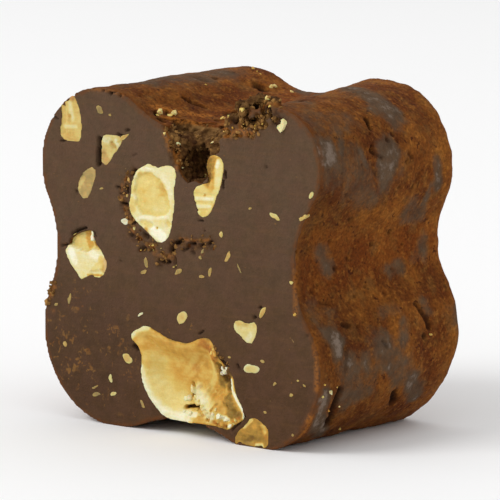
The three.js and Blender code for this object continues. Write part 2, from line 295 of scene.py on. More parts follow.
def soften_rim(rim, keep):
    """Keeps the first waves of a closed line, which rounds its corners."""
    waves = np.fft.fft(rim)
    order = np.abs(np.fft.fftfreq(len(rim), 1 / len(rim)))
    return np.fft.ifft(waves * np.clip((keep - order) / (0.4 * keep) + 1, 0, 1))


def chip_rim(rim, middle):
    """Moves each point a little in or out, because a chopped nut has no smooth edge."""
    around = np.stack([rim.real, np.zeros(len(rim)), rim.imag], axis=1)
    shift = RIM_CHIPS * (noise_at(around, 1.6) + 0.6 * noise_at(around, 4.0))
    return rim + shift * (rim - middle) / np.abs(rim - middle)


rims = {}
for node, (x, z) in NUT_MIDDLES.items():
    rims[node] = chip_rim(soften_rim(even_rim(read_rim(node), RIM_POINTS), RIM_WAVES), complex(x, z))
for node, rim in rims.items():
    print(f"{node}: rim {np.ptp(rim.real):.1f} x {np.ptp(rim.imag):.1f} mm")

# %% [markdown]
# ## Blocks and pockets
# The knife shows only the front of a piece of nut; the rest sits in the chocolate. Each rim is extruded
# backwards in four steps. The first is as wide as the front and the others are ever smaller, so the
# block ends blunt, as a chopped nut does.
# Where a rim runs along the side of the bar, the block keeps its width, because the nut shows there too.
#
# The pocket could be cut with a copy of the nut, but two equal walls would flicker through each other.
# So it is made by the same function, a little smaller and open at the front: the nut then reaches into
# the pocket's wall everywhere, and no gap shows except where one is cut on purpose.

# %% Make the blocks
NUT_BACK = [(1.0, 0.25), (0.88, 0.6), (0.58, 0.88), (0.2, 1.0)]  # share of the width, share of the depth
POCKET_LAP = 0.07
POCKET_AHEAD = 1.0
SIDE_DEPTH = 0.7
SIDE_SLACK = 0.12


def on_outline(points):
    """Which points lie on the bar's own outline, where a nut shows at the side too."""
    outline = np.array(cut_outline)
    return np.array([np.abs(outline - p).min() < SIDE_SLACK for p in points])


def add_block(name, node, lap=0.0):
    middle = complex(*NUT_MIDDLES[node])
    rim = rims[node]
    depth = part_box(node)[1].y / MM - CUT_Y - lap
    ahead = POCKET_AHEAD if lap else 0.0
    at_side = on_outline(rim)
    reach = rim - middle
    reach = reach * (1 - lap / np.abs(reach))
    reach = np.where(at_side, reach * (1 + 0.5 * ahead), reach)
    block = add_outline(name, middle + reach, CUT_Y - ahead)
    for share, deep in NUT_BACK:
        shares = np.where(at_side & (deep < SIDE_DEPTH), 1.0, share)
        extrude_outline(block, len(rim), CUT_Y + deep * depth, middle + reach * shares)
    face_outwards(block)
    return block


blocks = {node: add_block(node.replace("hazelnut_", "nut_"), node) for node in NUT_MIDDLES}
pockets = [add_block("pocket", node, POCKET_LAP) for node in NUT_MIDDLES]
print("nut blocks:", len(blocks))

# %% [markdown]
# ## Where the chocolate has broken
# Under the top groove a lump has crumbled out in front, and beside it the face is torn. Broken
# chocolate is uneven at every size. The large hollows are cut with dented balls here; the grain on
# their walls comes later, once the mesh is fine enough to hold it.

# %% Dented balls for the hollow, the pits and the burr
HOLLOW = [  # x, depth behind the cut, z, and the radii that go with them
    ((0.9, 0.0, 19.3), (2.35, 1.8, 1.1)),
    ((-0.6, 1.5, 19.35), (1.3, 0.9, 0.7)),
    ((0.5, 1.7, 19.4), (1.3, 1.0, 0.75)),
    ((0.95, 0.1, 18.4), (1.95, 1.2, 1.05)),
    ((0.5, 0.2, 17.25), (0.95, 2.8, 1.2)),
    ((1.32, 0.2, 16.85), (0.7, 1.5, 0.8)),
    ((-0.15, 0.0, 17.9), (0.7, 0.6, 0.9)),
]
BURR = [  # crumbled chocolate that the knife has pushed up over the edge
    ((3.9, 0.6, 20.0), (0.6, 0.7, 0.75)),
    ((4.7, 0.7, 20.6), (0.75, 0.8, 0.8)),
    ((5.6, 0.7, 20.95), (0.8, 0.8, 0.8)),
    ((6.5, 0.6, 21.2), (0.7, 0.7, 0.55)),
]
CRUMBLED = [  # how far pits stray, how many, their size, how deep behind the cut they lie, corners
    (0.7, 44, 0.36, 0.9, ((3.2, 19.8), (4.3, 20.3), (5.4, 20.6), (6.4, 21.0), (7.5, 20.5))),
    (0.35, 26, 0.3, 0.2, ((4.6, 20.0), (5.4, 20.1), (6.2, 20.4), (6.8, 20.9))),
    (0.3, 16, 0.26, 0.1, ((3.1, 19.6), (3.6, 19.2), (4.6, 19.5), (5.5, 19.5), (6.0, 19.9))),
    (0.45, 16, 0.2, 0.0,
     ((-1.9, 10.9), (-1.0, 11.2), (-0.9, 11.9), (-0.2, 12.3), (0.8, 12.2), (2.2, 12.5))),
    (0.45, 12, 0.2, 0.0, ((-4.2, 12.4), (-3.4, 12.3), (-3.2, 11.7), (-2.4, 11.9))),
    (0.3, 12, 0.22, 0.0, ((-4.1, 13.1), (-4.8, 14.2), (-4.9, 15.1), (-4.5, 15.6), (-3.95, 16.4))),
    (0.2, 10, 0.2, 0.3, ((-1.5, 19.4), (-1.2, 18.4), (-0.7, 17.2))),
]


def along_line(corners, share):
    """The place that lies at a share of the length of the line through the corners."""
    corners = np.array(corners, float)
    ends = np.concatenate([[0], np.cumsum(np.linalg.norm(np.diff(corners, axis=0), axis=1))])
    return np.array([np.interp(share * ends[-1], ends, column) for column in corners.T])


def add_lump(place, radii, dents=0.18, subdivisions=2):
    pick()
    bpy.ops.mesh.primitive_ico_sphere_add(subdivisions=subdivisions, radius=1)
    lump = bpy.context.object
    rows = places(lump)
    rows *= 1 + dents * draw.uniform(-1, 1, (len(rows), 1))
    place_all(lump, rows * radii + place)
    return lump


burr = [add_lump((x, CUT_Y + deep, z), radii, 0.25) for (x, deep, z), radii in BURR]
cutters = list(pockets)
for (x, deep, z), radii in HOLLOW:
    cutters.append(add_lump((x, CUT_Y + deep, z), radii, 0.1, 3))
for stray, count, size, deep, corners in CRUMBLED:
    for i in range(count):
        x, z = along_line(corners, (i + draw.random()) / count) + stray * draw.uniform(-1, 1, 2)
        radii = size * draw.uniform(0.5, 1.0) * draw.uniform(0.6, 1.4, 3)
        cutters.append(add_lump((x, CUT_Y + deep * draw.random(), z), radii, 0.3))
print("cutters:", len(cutters))

# %% [markdown]
# ## Cutting it all out at once
# A Boolean modifier takes a whole collection of cutters. That is quicker than one modifier for each of
# them, and the exact solver copes with cutters that overlap. The uncut bar is kept as a search tree
# first, so that later steps can ask how far below its skin a point lies.

# %% Cut them all out of the bar
whole_tree = BVHTree.FromPolygons(
    [vertex.co for vertex in body.data.vertices], [face.vertices for face in body.data.polygons]
)


def modify(obj, kind, **values):
    pick(obj)
    modifier = obj.modifiers.new(kind, kind)
    for name, value in values.items():
        setattr(modifier, name, value)
    bpy.ops.object.modifier_apply(modifier=modifier.name)


def combine(obj, operation, others):
    """Adds other pieces to a piece, or cuts them out of it, and clears them away."""
    group = bpy.data.collections.new("others")
    bpy.context.scene.collection.children.link(group)
    for other in others:
        for home in list(other.users_collection):
            home.objects.unlink(other)
        group.objects.link(other)
    modify(obj, "BOOLEAN", operation=operation, operand_type="COLLECTION", collection=group, solver="EXACT")
    for other in others:
        bpy.data.objects.remove(other)
    bpy.data.collections.remove(group)


combine(body, "UNION", burr)
combine(body, "DIFFERENCE", cutters)
print("after the cut:", len(body.data.vertices), "vertices")

# %% [markdown]
# ## One fine, even skin
# Cutting leaves long thin triangles that no modifier can bend. A voxel remesh pours one even skin of
# small squares over everything, like a coat of chocolate. The squares are a tenth of a millimetre.

# %% Remesh the bar
VOXEL = 0.1


def triangles(obj):
    return sum(len(face.vertices) - 2 for face in obj.data.polygons)


def pour_skin(obj, voxel):
    """Gives a piece one even skin, and smooths the steps of its squares away."""
    modify(obj, "REMESH", mode="VOXEL", voxel_size=voxel, use_smooth_shade=True)
    modify(obj, "SMOOTH", factor=0.5, iterations=2)


pour_skin(body, VOXEL)
print("after the remesh:", triangles(body), "triangles")

# %% [markdown]
# ## Marks in the skin
# Dents, cracks and pits could be sculpted by hand with a brush. A brush stroke is a line with a width
# and a depth, so each mark is written as one: every point of the skin within the stroke is pushed in,
# most in the middle. A little noise on the width keeps a stroke from looking drawn.

# %% Strokes with soft edges
def step(low, high, value):
    """0 below low, 1 above high, and a smooth rise between them."""
    t = np.clip((value - low) / (high - low), 0, 1)
    return t * t * (3 - 2 * t)


def line_distance(rows, corners):
    """How far each row is from the line through the corners, which may be a single point."""
    corners = np.array(corners, float)
    if len(corners) == 1:
        return np.linalg.norm(rows - corners[0], axis=1)
    nearest = np.full(len(rows), np.inf)
    for a, b in zip(corners[:-1], corners[1:]):
        along = np.clip((rows - a) @ (b - a) / ((b - a) @ (b - a)), 0, 1)
        nearest = np.minimum(nearest, np.linalg.norm(rows - a - along[:, None] * (b - a), axis=1))
    return nearest


def stroke_share(rows, strokes, wobble):
    """The depth that all strokes together press each row in by."""
    deep = np.zeros(len(rows))
    for width, depth, *corners in strokes:
        span = np.array(corners, float)
        near = np.all((rows > span.min(0) - 2 * width) & (rows < span.max(0) + 2 * width), axis=1)
        far = line_distance(rows[near], corners) * (1 + 0.5 * wobble[near])
        deep[near] = np.maximum(deep[near], depth * step(0, 1, 1 - far / width))
    return deep


half_way = stroke_share(np.array([(0.5, 0.0, 0.0)]), [(1.0, 1.0, (0.0, 0.0, 0.0))], np.zeros(1))
print(f"depth of a stroke half way to its edge: {half_way[0]:.2f}")

# %% [markdown]
# ## Aiming
# A mark on a wall of the hollow or on the mantle is hard to place by its three coordinates. It is
# easier to aim, as a brush does: a ray goes from one far eye through a point of the cut plane, and
# where it meets the skin the mark is made.

# %% Where the eye meets the skin
EYE = Vector((130.26, -162.79, 40.34))


def skin_of(obj):
    return BVHTree.FromObject(obj, bpy.context.evaluated_depsgraph_get())


def seen_at(skin, *spots):
    """The points of the skin that the eye sees through the spots (x, z) of the cut plane."""
    found = []
    for x, z in spots:
        hit = skin.ray_cast(EYE, Vector((x, CUT_Y, z)) - EYE)[0]
        if hit is not None:
            found.append(tuple(hit))
    return found


def aim(skin, strokes):
    """Lays strokes on the skin whose corners are given as the eye sees them."""
    laid = [(width, depth, *seen_at(skin, *spots)) for width, depth, *spots in strokes]
    return [stroke for stroke in laid if len(stroke) > 2]


skin = skin_of(body)
print("straight ahead the eye meets the skin at", [round(v, 1) for v in seen_at(skin, (0.0, MIDDLE_Z))[0]])

# %% [markdown]
# ## Roughening and painting
# Broken chocolate, cocoa and nut are each rough in their own way. A Displace modifier moves the skin by
# a noise texture, and a vertex group says how much it may do so at each point. What is a finish and
# not a shape, such as cocoa on the skin, is kept as an attribute: one share for each vertex. Unlike
# a picture it needs no unwrapping, and the materials read it later.

# %% Follow a share with a modifier, or keep it for a material
SHARE_LEVELS = 200


def weigh(obj, shares):
    """Writes a share for each vertex into a vertex group, which a modifier can follow."""
    group = obj.vertex_groups.new(name="share")
    level = np.round(np.clip(shares, 0, 1) * SHARE_LEVELS).astype(int)
    for value in np.unique(level[level > 0]):
        group.add(np.nonzero(level == value)[0].tolist(), value / SHARE_LEVELS, "REPLACE")
    return group.name


def roughen(obj, shares, grain, height, kind="CLOUDS", middle=0.5):
    """Moves the skin in and out by a noise texture whose grain is that many millimetres."""
    texture = bpy.data.textures.new("relief", kind)
    texture.noise_scale = grain
    name = weigh(obj, shares)
    modify(obj, "DISPLACE", texture=texture, strength=height, mid_level=middle, vertex_group=name)
    obj.vertex_groups.clear()
    bpy.data.textures.remove(texture)


def paint(obj, name, shares):
    """Keeps a share for each vertex as an attribute that a material can read."""
    layer = obj.data.attributes.get(name) or obj.data.attributes.new(name, "FLOAT", "POINT")
    layer.data.foreach_set("value", np.clip(shares, 0, 1).astype(np.float32))


print("a share is kept in steps of", 1 / SHARE_LEVELS)

# %% [markdown]
# ## Marks in the cut face
# The knife leaves the face smooth. Where it met a nut, the nut was dragged a little and left a dark
# gap on one side. In the middle the soft chocolate tore into thin cracks.

# %% Gaps and cracks in the cut face
def in_face(*corners):
    """Corners (x, z) as places on the cut face."""
    return [(x, CUT_Y, z) for x, z in corners]


FACE_MARKS = [  # width, depth, corners
    (0.28, 0.9, (-6.8, 18.2), (-6.9, 17.6), (-6.95, 16.75)), (0.12, 0.3, (-5.3, 18.68), (-4.9, 18.62)),
    (0.12, 0.3, (-4.6, 18.98), (-4.35, 19.02)), (0.14, 0.4, (-9.2, 12.0), (-8.7, 12.3), (-8.05, 12.52)),
    (0.1, 0.3, (-10.1, 11.2), (-9.6, 11.3)), (0.1, 0.25, (-7.35, 12.3), (-7.2, 12.0)),
    (0.16, 0.45, (3.38, 16.95), (3.4, 16.6)), (0.14, 0.4, (3.2, 16.3), (3.2, 15.95)),
    (0.1, 0.25, (1.3, 13.75), (1.6, 13.75)), (0.14, 0.15, (1.75, 13.15)),
    (0.2, 0.45, (-4.05, 16.3), (-3.85, 16.5)), (0.13, 0.3, (4.35, 5.05), (4.5, 4.8)),
    (0.2, 0.45, (-4.05, 5.3), (-3.8, 5.15)), (0.1, 0.25, (3.95, 0.9), (4.5, 1.4), (5.0, 1.9)),
    (0.09, 0.25, (1.3, 6.65), (1.7, 6.9)), (0.16, 0.3, (3.1, 5.15), (3.6, 4.85)),
    (0.12, 0.25, (-10.1, 17.95), (-9.8, 18.0)), (0.12, 0.25, (-10.8, 19.45), (-10.4, 19.35)),
    (0.08, 0.12, (-4.1, 17.4), (-3.75, 17.55)), (0.12, 0.2, (-8.85, 14.85), (-8.75, 14.7)),
    (0.17, 0.5, (-0.75, 12.12), (-0.4, 12.2), (-0.05, 12.38)), (0.22, 0.45, (-0.95, 11.55), (-0.85, 11.85)),
    (0.2, 0.3, (-1.85, 10.95), (-1.4, 10.9)), (0.17, 0.4, (-1.25, 10.9), (-1.1, 11.0)),
    (0.12, 0.25, (-0.65, 11.3), (-0.6, 10.6)), (0.14, 0.2, (0.1, 11.8), (0.5, 12.0)),
    (0.15, 0.35, (0.6, 12.25), (0.95, 12.28)), (0.14, 0.2, (0.7, 11.7), (0.9, 11.65)),
    (0.15, 0.3, (1.5, 12.2), (1.65, 12.25)), (0.16, 0.35, (2.1, 12.35), (2.25, 12.5)),
    (0.2, 0.3, (-3.55, 11.45), (-3.1, 11.65)), (0.15, 0.2, (-4.25, 12.35), (-4.0, 12.35)),
    (0.2, 0.3, (-3.15, 12.5), (-2.9, 12.35)), (0.12, 0.2, (-5.1, 10.65)),
    (0.18, 0.4, (-5.0, 14.35), (-4.6, 14.3)), (0.15, 0.35, (-4.6, 15.5), (-4.5, 15.1)),
    (0.16, 0.3, (-5.45, 15.35), (-5.2, 15.3)), (0.12, 0.2, (-5.1, 14.95), (-4.85, 14.9)),
    (0.15, 0.3, (-4.0, 13.2), (-3.9, 13.25)), (0.14, 0.35, (5.7, 8.1), (5.8, 8.15)),
    (0.12, 0.3, (6.1, 8.75), (6.2, 8.8)), (0.1, 0.2, (6.6, 17.5), (6.65, 17.45)),
]
face_strokes = [(width, depth, *in_face(*corners)) for width, depth, *corners in FACE_MARKS]
print("marks in the cut face:", len(face_strokes))

# %% [markdown]
# ## Marks in the dusted mantle
# The outside was dented and scraped while the sweet was soft. The marks lie on the right side and on
# top, where they are easiest to see. The other sides get marks of the same kinds, drawn at random
# places with a fixed seed, so that they come out the same every time.

# %% Dents and scrapes in the mantle
AIMED_STROKES = [  # width, depth, and where the eye sees the corners on the cut plane
    (0.14, 0.3, (0.1, 21.35), (0.6, 21.2)), (0.17, 0.35, (0.6, 21.2), (1.1, 21.05)),
    (0.12, 0.2, (1.1, 21.05), (1.9, 20.92)), (0.35, 0.5, (4.3, 20.2), (4.35, 20.8)),
    (0.35, 0.6, (5.05, 20.9)), (0.2, 0.4, (5.25, 21.2)), (0.25, 0.4, (4.15, 20.05)),
    (0.24, 0.5, (6.8, 20.85), (6.75, 21.05)), (0.28, 0.5, (7.3, 20.35), (7.6, 20.25)),
    (0.24, 0.5, (3.05, 19.75)), (0.16, 0.3, (2.8, 20.2)), (0.2, 0.45, (-1.85, 19.9), (-1.5, 19.75)),
    (0.14, 0.3, (-2.15, 20.35), (-2.1, 20.1)), (0.1, 0.25, (-1.2, 20.3), (-1.2, 20.5)),
    (0.12, 0.3, (-0.5, 18.1), (-0.45, 17.9)), (0.5, 0.5, (6.05, 22.4), (6.35, 22.25)),
    (0.22, 0.4, (-5.9, 21.25)), (0.2, 0.35, (-5.1, 21.2)), (0.15, 0.25, (-6.5, 21.4)),
    (0.13, 0.2, (-7.3, 21.5)), (0.13, 0.2, (-8.9, 21.0), (-8.6, 21.15)), (0.13, 0.2, (-5.5, 21.35)),
    (0.12, 0.2, (-3.4, 21.3)), (0.17, 0.5, (14.25, 20.9), (14.4, 20.6), (14.5, 20.35)),
    (0.14, 0.12, (14.45, 20.0)), (0.14, 0.22, (14.65, 19.35), (14.6, 19.05), (14.9, 18.9)),
    (0.12, 0.14, (14.9, 18.9), (15.3, 18.75), (15.5, 18.68)), (0.12, 0.08, (14.65, 19.4), (14.85, 19.8)),
    (0.12, 0.1, (14.8, 18.2), (14.85, 17.9), (15.1, 17.5)),
    (0.22, 0.25, (17.9, 10.2), (18.3, 9.8), (18.8, 9.3), (19.0, 8.9)), (0.2, 0.25, (18.65, 8.3)),
    (0.16, 0.12, (11.5, 9.5), (10.8, 9.55)), (0.2, 0.2, (12.6, 8.4), (13.0, 8.4)),
    (0.15, 0.12, (15.5, 7.7), (15.9, 7.4)), (0.22, 0.1, (12.8, 6.9), (13.0, 6.2), (12.8, 5.6)),
    (0.4, 0.4, (12.4, 4.3), (12.0, 3.5), (11.7, 2.6), (11.4, 2.0)), (0.2, 0.3, (12.1, 3.9), (12.0, 3.5)),
    (0.4, 0.35, (16.4, 4.6), (16.4, 4.0)), (0.16, 0.12, (9.8, 7.4)),
    (0.45, 0.05, (17.2, 15.5), (18.2, 15.7)), (0.12, 0.08, (17.6, 16.9), (18.3, 18.0)),
    # The two wide, shallow strokes on the next line dent the mantle only a little; they mostly paint shade
    # beside the edge of the cut.
    (1.2, 0.08, (10.9, 15.6), (10.0, 14.0), (9.4, 12.6)), (1.0, 0.05, (8.9, 10.8), (9.3, 8.6)),
    (0.12, 0.08, (18.0, 15.9), (18.6, 17.0)), (0.3, 0.5, (5.85, 21.05)), (0.24, 0.45, (6.35, 21.5)),
    (0.22, 0.4, (4.65, 21.15)), (0.2, 0.4, (5.7, 20.35)), (0.2, 0.4, (4.85, 20.2)),
    (0.18, 0.35, (3.6, 19.9)), (0.14, 0.2, (-1.5, 20.0), (0.0, 19.92), (1.4, 19.9), (2.6, 20.0)),
    (0.12, 0.12, (-0.6, 19.45), (1.0, 19.35), (2.2, 19.4)),
]
AIMED_PITS = [  # radius, and where the eye sees the pits on the cut plane
    (0.22, (15.8, 19.8), (16.15, 20.1), (13.05, 14.75), (16.0, 14.25), (9.0, 12.45), (11.9, 11.7),
     (14.7, 13.4)),
    (0.17, (16.45, 19.75), (17.4, 19.05), (17.3, 18.6), (17.6, 18.85), (16.75, 16.95), (13.1, 14.3),
     (17.35, 14.2)),
    (0.15, (13.6, 15.2), (17.1, 14.6), (15.7, 15.9), (12.45, 17.5), (11.65, 15.6), (11.5, 13.3),
     (17.0, 21.3)),
    (0.17, (9.7, 12.85), (9.95, 12.7), (10.2, 10.15), (13.7, 8.4), (14.2, 10.9), (16.2, 12.1),
     (12.9, 12.4)),
    (0.13, (10.6, 10.6), (11.4, 10.7), (12.1, 9.2), (13.4, 10.2), (14.9, 10.3), (15.6, 10.6), (16.7, 11.2)),
    (0.13, (12.6, 20.0), (13.6, 18.9), (14.0, 18.1), (10.9, 16.3), (12.8, 16.2), (16.9, 13.6),
     (15.0, 11.9)),
]
PIT_DEPTH = 0.8  # of its radius
aimed_strokes = AIMED_STROKES + [
    (radius, PIT_DEPTH * radius, spot) for radius, *spots in AIMED_PITS for spot in spots
]
print("marks in the mantle:", len(aimed_strokes))

# %% [markdown]
# ## Marks on the other sides
# The left side, the dusted end, the top and the underside were handled as roughly as the rest. A place
# is drawn at random in a box round the sweet and dropped on the nearest skin. It is thrown away when
# that is far off, or is the cut face or the right side, where the marks are already made.

# %% Draw the other marks
HIDDEN_MARKS = 60
AROUND_X, AROUND_Z = (-13, 13), (-1, 23)


def random_place(behind):
    """A random place in a box round the sweet, at least that far behind the cut."""
    along = (CUT_Y + behind, END_Y + 1)
    return Vector([draw.uniform(*span) for span in (AROUND_X, along, AROUND_Z)])


def random_marks(count):
    """Short scrapes and pits on the left side, the dusted end, the top and underneath."""
    marks = []
    while len(marks) < count:
        spot, out, _, far = whole_tree.find_nearest(random_place(2.5))
        if far > 1.2 or out.x > 0.3 or out.y < -0.5:
            continue
        sideways = out.orthogonal().normalized()
        way = sideways * draw.uniform(-1, 1) + out.cross(sideways) * draw.uniform(-1, 1)
        length = float(draw.choice([0.1, 0.5, 1.1]))
        width, depth = draw.uniform(0.16, 0.4), draw.uniform(0.1, 0.26)
        marks.append((width, depth, tuple(spot), tuple(spot + length * way)))
    return marks


hidden_strokes = random_marks(HIDDEN_MARKS)
print("marks on the other sides:", len(hidden_strokes))

# %% [markdown]
# ## Where the skin is cut, broken or whole
# The face, the torn places and the dusted mantle are roughened in different ways, so every point gets a
# share of each. A point is broken when it lies below the skin of the uncut bar, or in a band where the
# chocolate crumbled. Selecting such places by hand would give hard edges; shares fade into each other.

# %% Measure the shares
rows = places(body)
wobble = noise_at(rows, 3.0)
below_skin = np.array([whole_tree.find_nearest(Vector(row))[3] for row in rows])
behind_cut = rows[:, 1] - CUT_Y
on_face = step(0.12, 0.05, behind_cut) * step(0.12, 0.05, below_skin)
torn = np.zeros(len(rows))
for stray, _, size, _, corners in CRUMBLED:
    band = line_distance(rows, in_face(*corners))
    torn = np.maximum(torn, step(stray + 1.2 * size, 0.4 * stray, band * (1 + 0.5 * wobble)))
broken = np.maximum(step(0.1, 0.3, below_skin), 0.8 * torn * step(-0.5, 0.3, wobble))
print(f"share of the cut face {on_face.mean():.2f}, of broken chocolate {broken.mean():.2f}")

# %% [markdown]
# ## Pressing the marks in
# A mark in the cut face goes straight back, as the knife's own marks do. A mark in the mantle goes in
# along the surface's normal, as a finger or another sweet would press it. How deep a point was pressed
# is painted too, because cocoa and shadow stay in a dent.

# %% Press the marks in
def normals(obj):
    flat = np.empty(len(obj.data.vertices) * 3, np.float32)
    obj.data.vertex_normals.foreach_get("vector", flat)
    return flat.reshape(-1, 3).astype(float)


face_deep = stroke_share(rows, face_strokes, wobble) * step(0.6, 0.2, behind_cut)
mantle_deep = stroke_share(rows, hidden_strokes + aim(skin, aimed_strokes), wobble)
rows[:, 1] += face_deep
place_all(body, rows - normals(body) * mantle_deep[:, None])
# The depth of each mark is kept as painted shade, which the material uses to darken dents and gaps.
dent_shade = np.clip(3.0 * (face_deep + mantle_deep), 0, 1)
print(f"deepest mark: {max(face_deep.max(), mantle_deep.max()):.2f} mm")

# %% [markdown]
# ## Roughness
# Broken chocolate is lumpy at three sizes: lumps, clods and grains. The dusted mantle is only a little
# wavy, and the cut face is almost flat. Each size is one Displace modifier that follows its share.

# %% Roughen the skin
hollowed = step(0.25, 0.6, below_skin)
loose = np.maximum(0.55 * torn, hollowed)
roughen(body, hollowed, 0.8, 0.5)
roughen(body, loose, 0.3, 0.36)
roughen(body, loose, 0.16, 0.14, "VORONOI")
mantle = (1 - on_face) * (1 - broken)
roughen(body, mantle * step(0, 1.5, behind_cut), 3.2, 0.3, middle=0.75)
roughen(body, mantle, 0.8, 0.09)
roughen(body, mantle, 0.25, 0.05)
roughen(body, on_face, 1.1, 0.03)
paint(body, "face", on_face)
paint(body, "broken", broken)
paint(body, "dent_shade", dent_shade)
print("box after the marks:", [round(v, 2) for v in body.dimensions])

# %% [markdown]
# ## Loose cocoa, and painted light on the broken walls
# Round the torn places lies a little orange-brown cocoa, which the knife carried there. The walls of the
# hollow and of the crumbled patch are painted paler, as painted light where they lie in shade. Noise
# alone would put both anywhere, so they are aimed like the marks, and painted as shares.

# %% Paint the loose cocoa and the pale walls
COCOA_SPOTS = [  # radius, strength, and where the eye sees the corners on the cut plane
    (0.14, 0.5, (-0.2, 12.5), (0.8, 12.46), (1.6, 12.5), (2.2, 12.65)),
    (0.2, 0.4, (-0.9, 12.3), (-0.8, 12.2)), (0.25, 0.5, (-2.9, 11.85), (-2.3, 11.8)),
    (0.3, 0.3, (-2.3, 11.4), (-0.8, 11.3)), (0.25, 0.35, (1.6, 11.7)),
    (0.4, 0.45, (-0.5, 17.8), (-0.25, 17.2), (-0.4, 16.9)),
    (0.3, 0.5, (-1.5, 19.7), (-1.3, 18.7), (-1.0, 18.0)),
    (0.2, 0.4, (-4.5, 16.2), (-5.0, 15.4), (-5.0, 14.6), (-4.3, 13.4)),
    (0.2, 0.5, (-4.2, 12.7), (-3.4, 12.3)), (0.4, 0.8, (3.2, 20.1), (3.5, 19.6)),
    (0.4, 0.7, (3.6, 19.2), (4.6, 19.5), (5.5, 19.4)), (0.3, 0.6, (5.9, 20.3)),
    (0.3, 0.5, (6.4, 21.3), (7.2, 21.4)), (0.25, 0.5, (1.9, 16.6)), (0.2, 0.6, (-9.9, 11.3)),
    (0.35, 0.5, (-10.8, 8.5), (-11.1, 7.9), (-11.4, 7.5)), (0.3, 0.3, (-10.9, 6.9)),
    (0.5, 1.0, (-2.2, 20.7), (0.0, 20.5), (2.2, 20.45)),
    (0.4, 1.0, (-1.5, 20.1), (0.2, 19.9), (2.3, 19.95)),
    (0.3, 0.5, (10.35, 7.6), (10.5, 6.0), (10.55, 4.2)), (0.35, 0.7, (9.3, 1.1), (9.9, 1.8), (10.1, 2.4)),
    (0.3, 0.5, (8.9, 8.6), (8.9, 11.2)), (0.4, 0.5, (5.4, 23.3), (6.6, 22.9)),
    (0.3, 0.6, (11.3, 21.9), (11.7, 21.8)),
    (0.2, 0.4, (-8.9, 21.0), (-7.4, 21.45), (-5.9, 21.4), (-4.9, 21.2)),
]
# Painted light: these strokes make the walls of the hollow and of the crumbled patch paler.
PAINTED_LIGHT_WALLS = [  # the same
    (0.9, 0.9, (-0.8, 19.7), (1.2, 19.7), (2.8, 19.6)), (0.7, 0.5, (0.2, 19.1), (2.8, 18.9)),
    (0.5, 0.35, (1.2, 18.2), (2.6, 18.2)), (0.4, 0.5, (-0.3, 18.6), (0.6, 18.4)),
    (1.0, 1.0, (3.5, 19.7), (5.2, 20.2), (6.6, 20.8)), (0.6, 0.8, (5.6, 21.2), (6.4, 21.4), (7.0, 21.4)),
    (0.6, 0.8, (4.2, 20.7), (5.0, 21.1)), (0.5, 0.6, (2.9, 18.7)), (0.4, 0.6, (-0.9, 18.9), (-0.5, 18.5)),
    (0.5, 0.5, (5.8, 20.3), (7.0, 20.4)),
]
rows = places(body)
for name, spots in (("cocoa", COCOA_SPOTS), ("pale", PAINTED_LIGHT_WALLS)):
    shares = stroke_share(rows, aim(skin, spots), wobble)
    paint(body, name, shares)
    print(f"{name}: {(shares > 0.1).sum()} points of the skin")

# %% [markdown]
# ## Thinning out the mesh
# Half a million triangles are more than the body needs. A Decimate modifier could thin them evenly, but
# the cracks need small ones and the mantle doesn't. So a vertex group tells it where to take most:
# from the mantle and the far end, and from the pockets' walls, which the nuts hide.

# %% Thin out the mesh where the detail is soft
BODY_TRIANGLES = 185_000


def inside_rim(face_points, node, grow=0.0):
    """Which points of the cut face lie within the rim of a nut piece."""
    middle = complex(*NUT_MIDDLES[node])
    reach = rims[node] - middle
    order = np.argsort(np.angle(reach))
    point = face_points - middle
    limit = np.interp(np.angle(point), np.angle(reach)[order], np.abs(reach)[order], period=2 * math.pi)
    return np.abs(point) < limit + grow


hidden = np.zeros(len(rows), bool)
for node in NUT_MIDDLES:
    hidden |= inside_rim(rows[:, 0] + 1j * rows[:, 2], node, -0.02) & (below_skin > 0.15)
fine = np.maximum(on_face, step(0.1, 0.3, below_skin) * step(4.5, 3.5, behind_cut))
weigh(body, np.where(hidden, 1.0, 1 - fine))
ratio = BODY_TRIANGLES / triangles(body)
modify(body, "DECIMATE", ratio=ratio, vertex_group="share", vertex_group_factor=10)
body.vertex_groups.clear()
lowest, highest = [np.array(corner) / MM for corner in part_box("chocolate")]
place_all(body, np.clip(places(body), lowest, highest))
print("after thinning:", triangles(body), "triangles")

# %% [markdown]
# ## The nut pieces
# A roasted hazelnut is pale cream where it is cut, golden on the inner side of each half and
# orange-brown where a shred of skin is left. Each block gets a fine skin of its own. Its front is
# then pressed in where the nut is hollow or has split. Tone is painted on it, from dark olive to white
# cream, and so is what is left of the brown husk.
#
# Every mark is a line with a reach, or an area when the line ends where it starts. For an area the
# reach is how soft its edge is.

# %% How each nut piece looks
# dish: depth, width of the flat rim, and width of the slope. sinks: mm, reach, corners.
# tones, husks and rough places: share, reach, corners. tone and rim are the tones elsewhere, grain is
# how rough the front is in mm, and muted says how much greyer a piece is.
NO_DISH = (0.0, 0.1, 0.3)
KERNEL_DISH = [
    (-3.95, 15.3), (-3.9, 16.0), (-3.4, 16.4), (-2.6, 16.42), (-1.9, 16.1), (-1.5, 15.5), (-1.12, 15.0),
    (-1.05, 14.3), (-1.2, 13.9), (-2.2, 13.62), (-3.3, 13.7), (-3.8, 14.3), (-3.95, 15.3),
]
CHUNK_SHELF = [
    (-9.6, 11.35), (-9.2, 11.25), (-8.8, 11.1), (-8.3, 11.0), (-7.9, 11.05), (-7.7, 11.2), (-6.9, 11.25),
    (-6.6, 11.6), (-7.3, 12.8), (-8.6, 12.8), (-9.9, 12.0), (-9.6, 11.35),
]
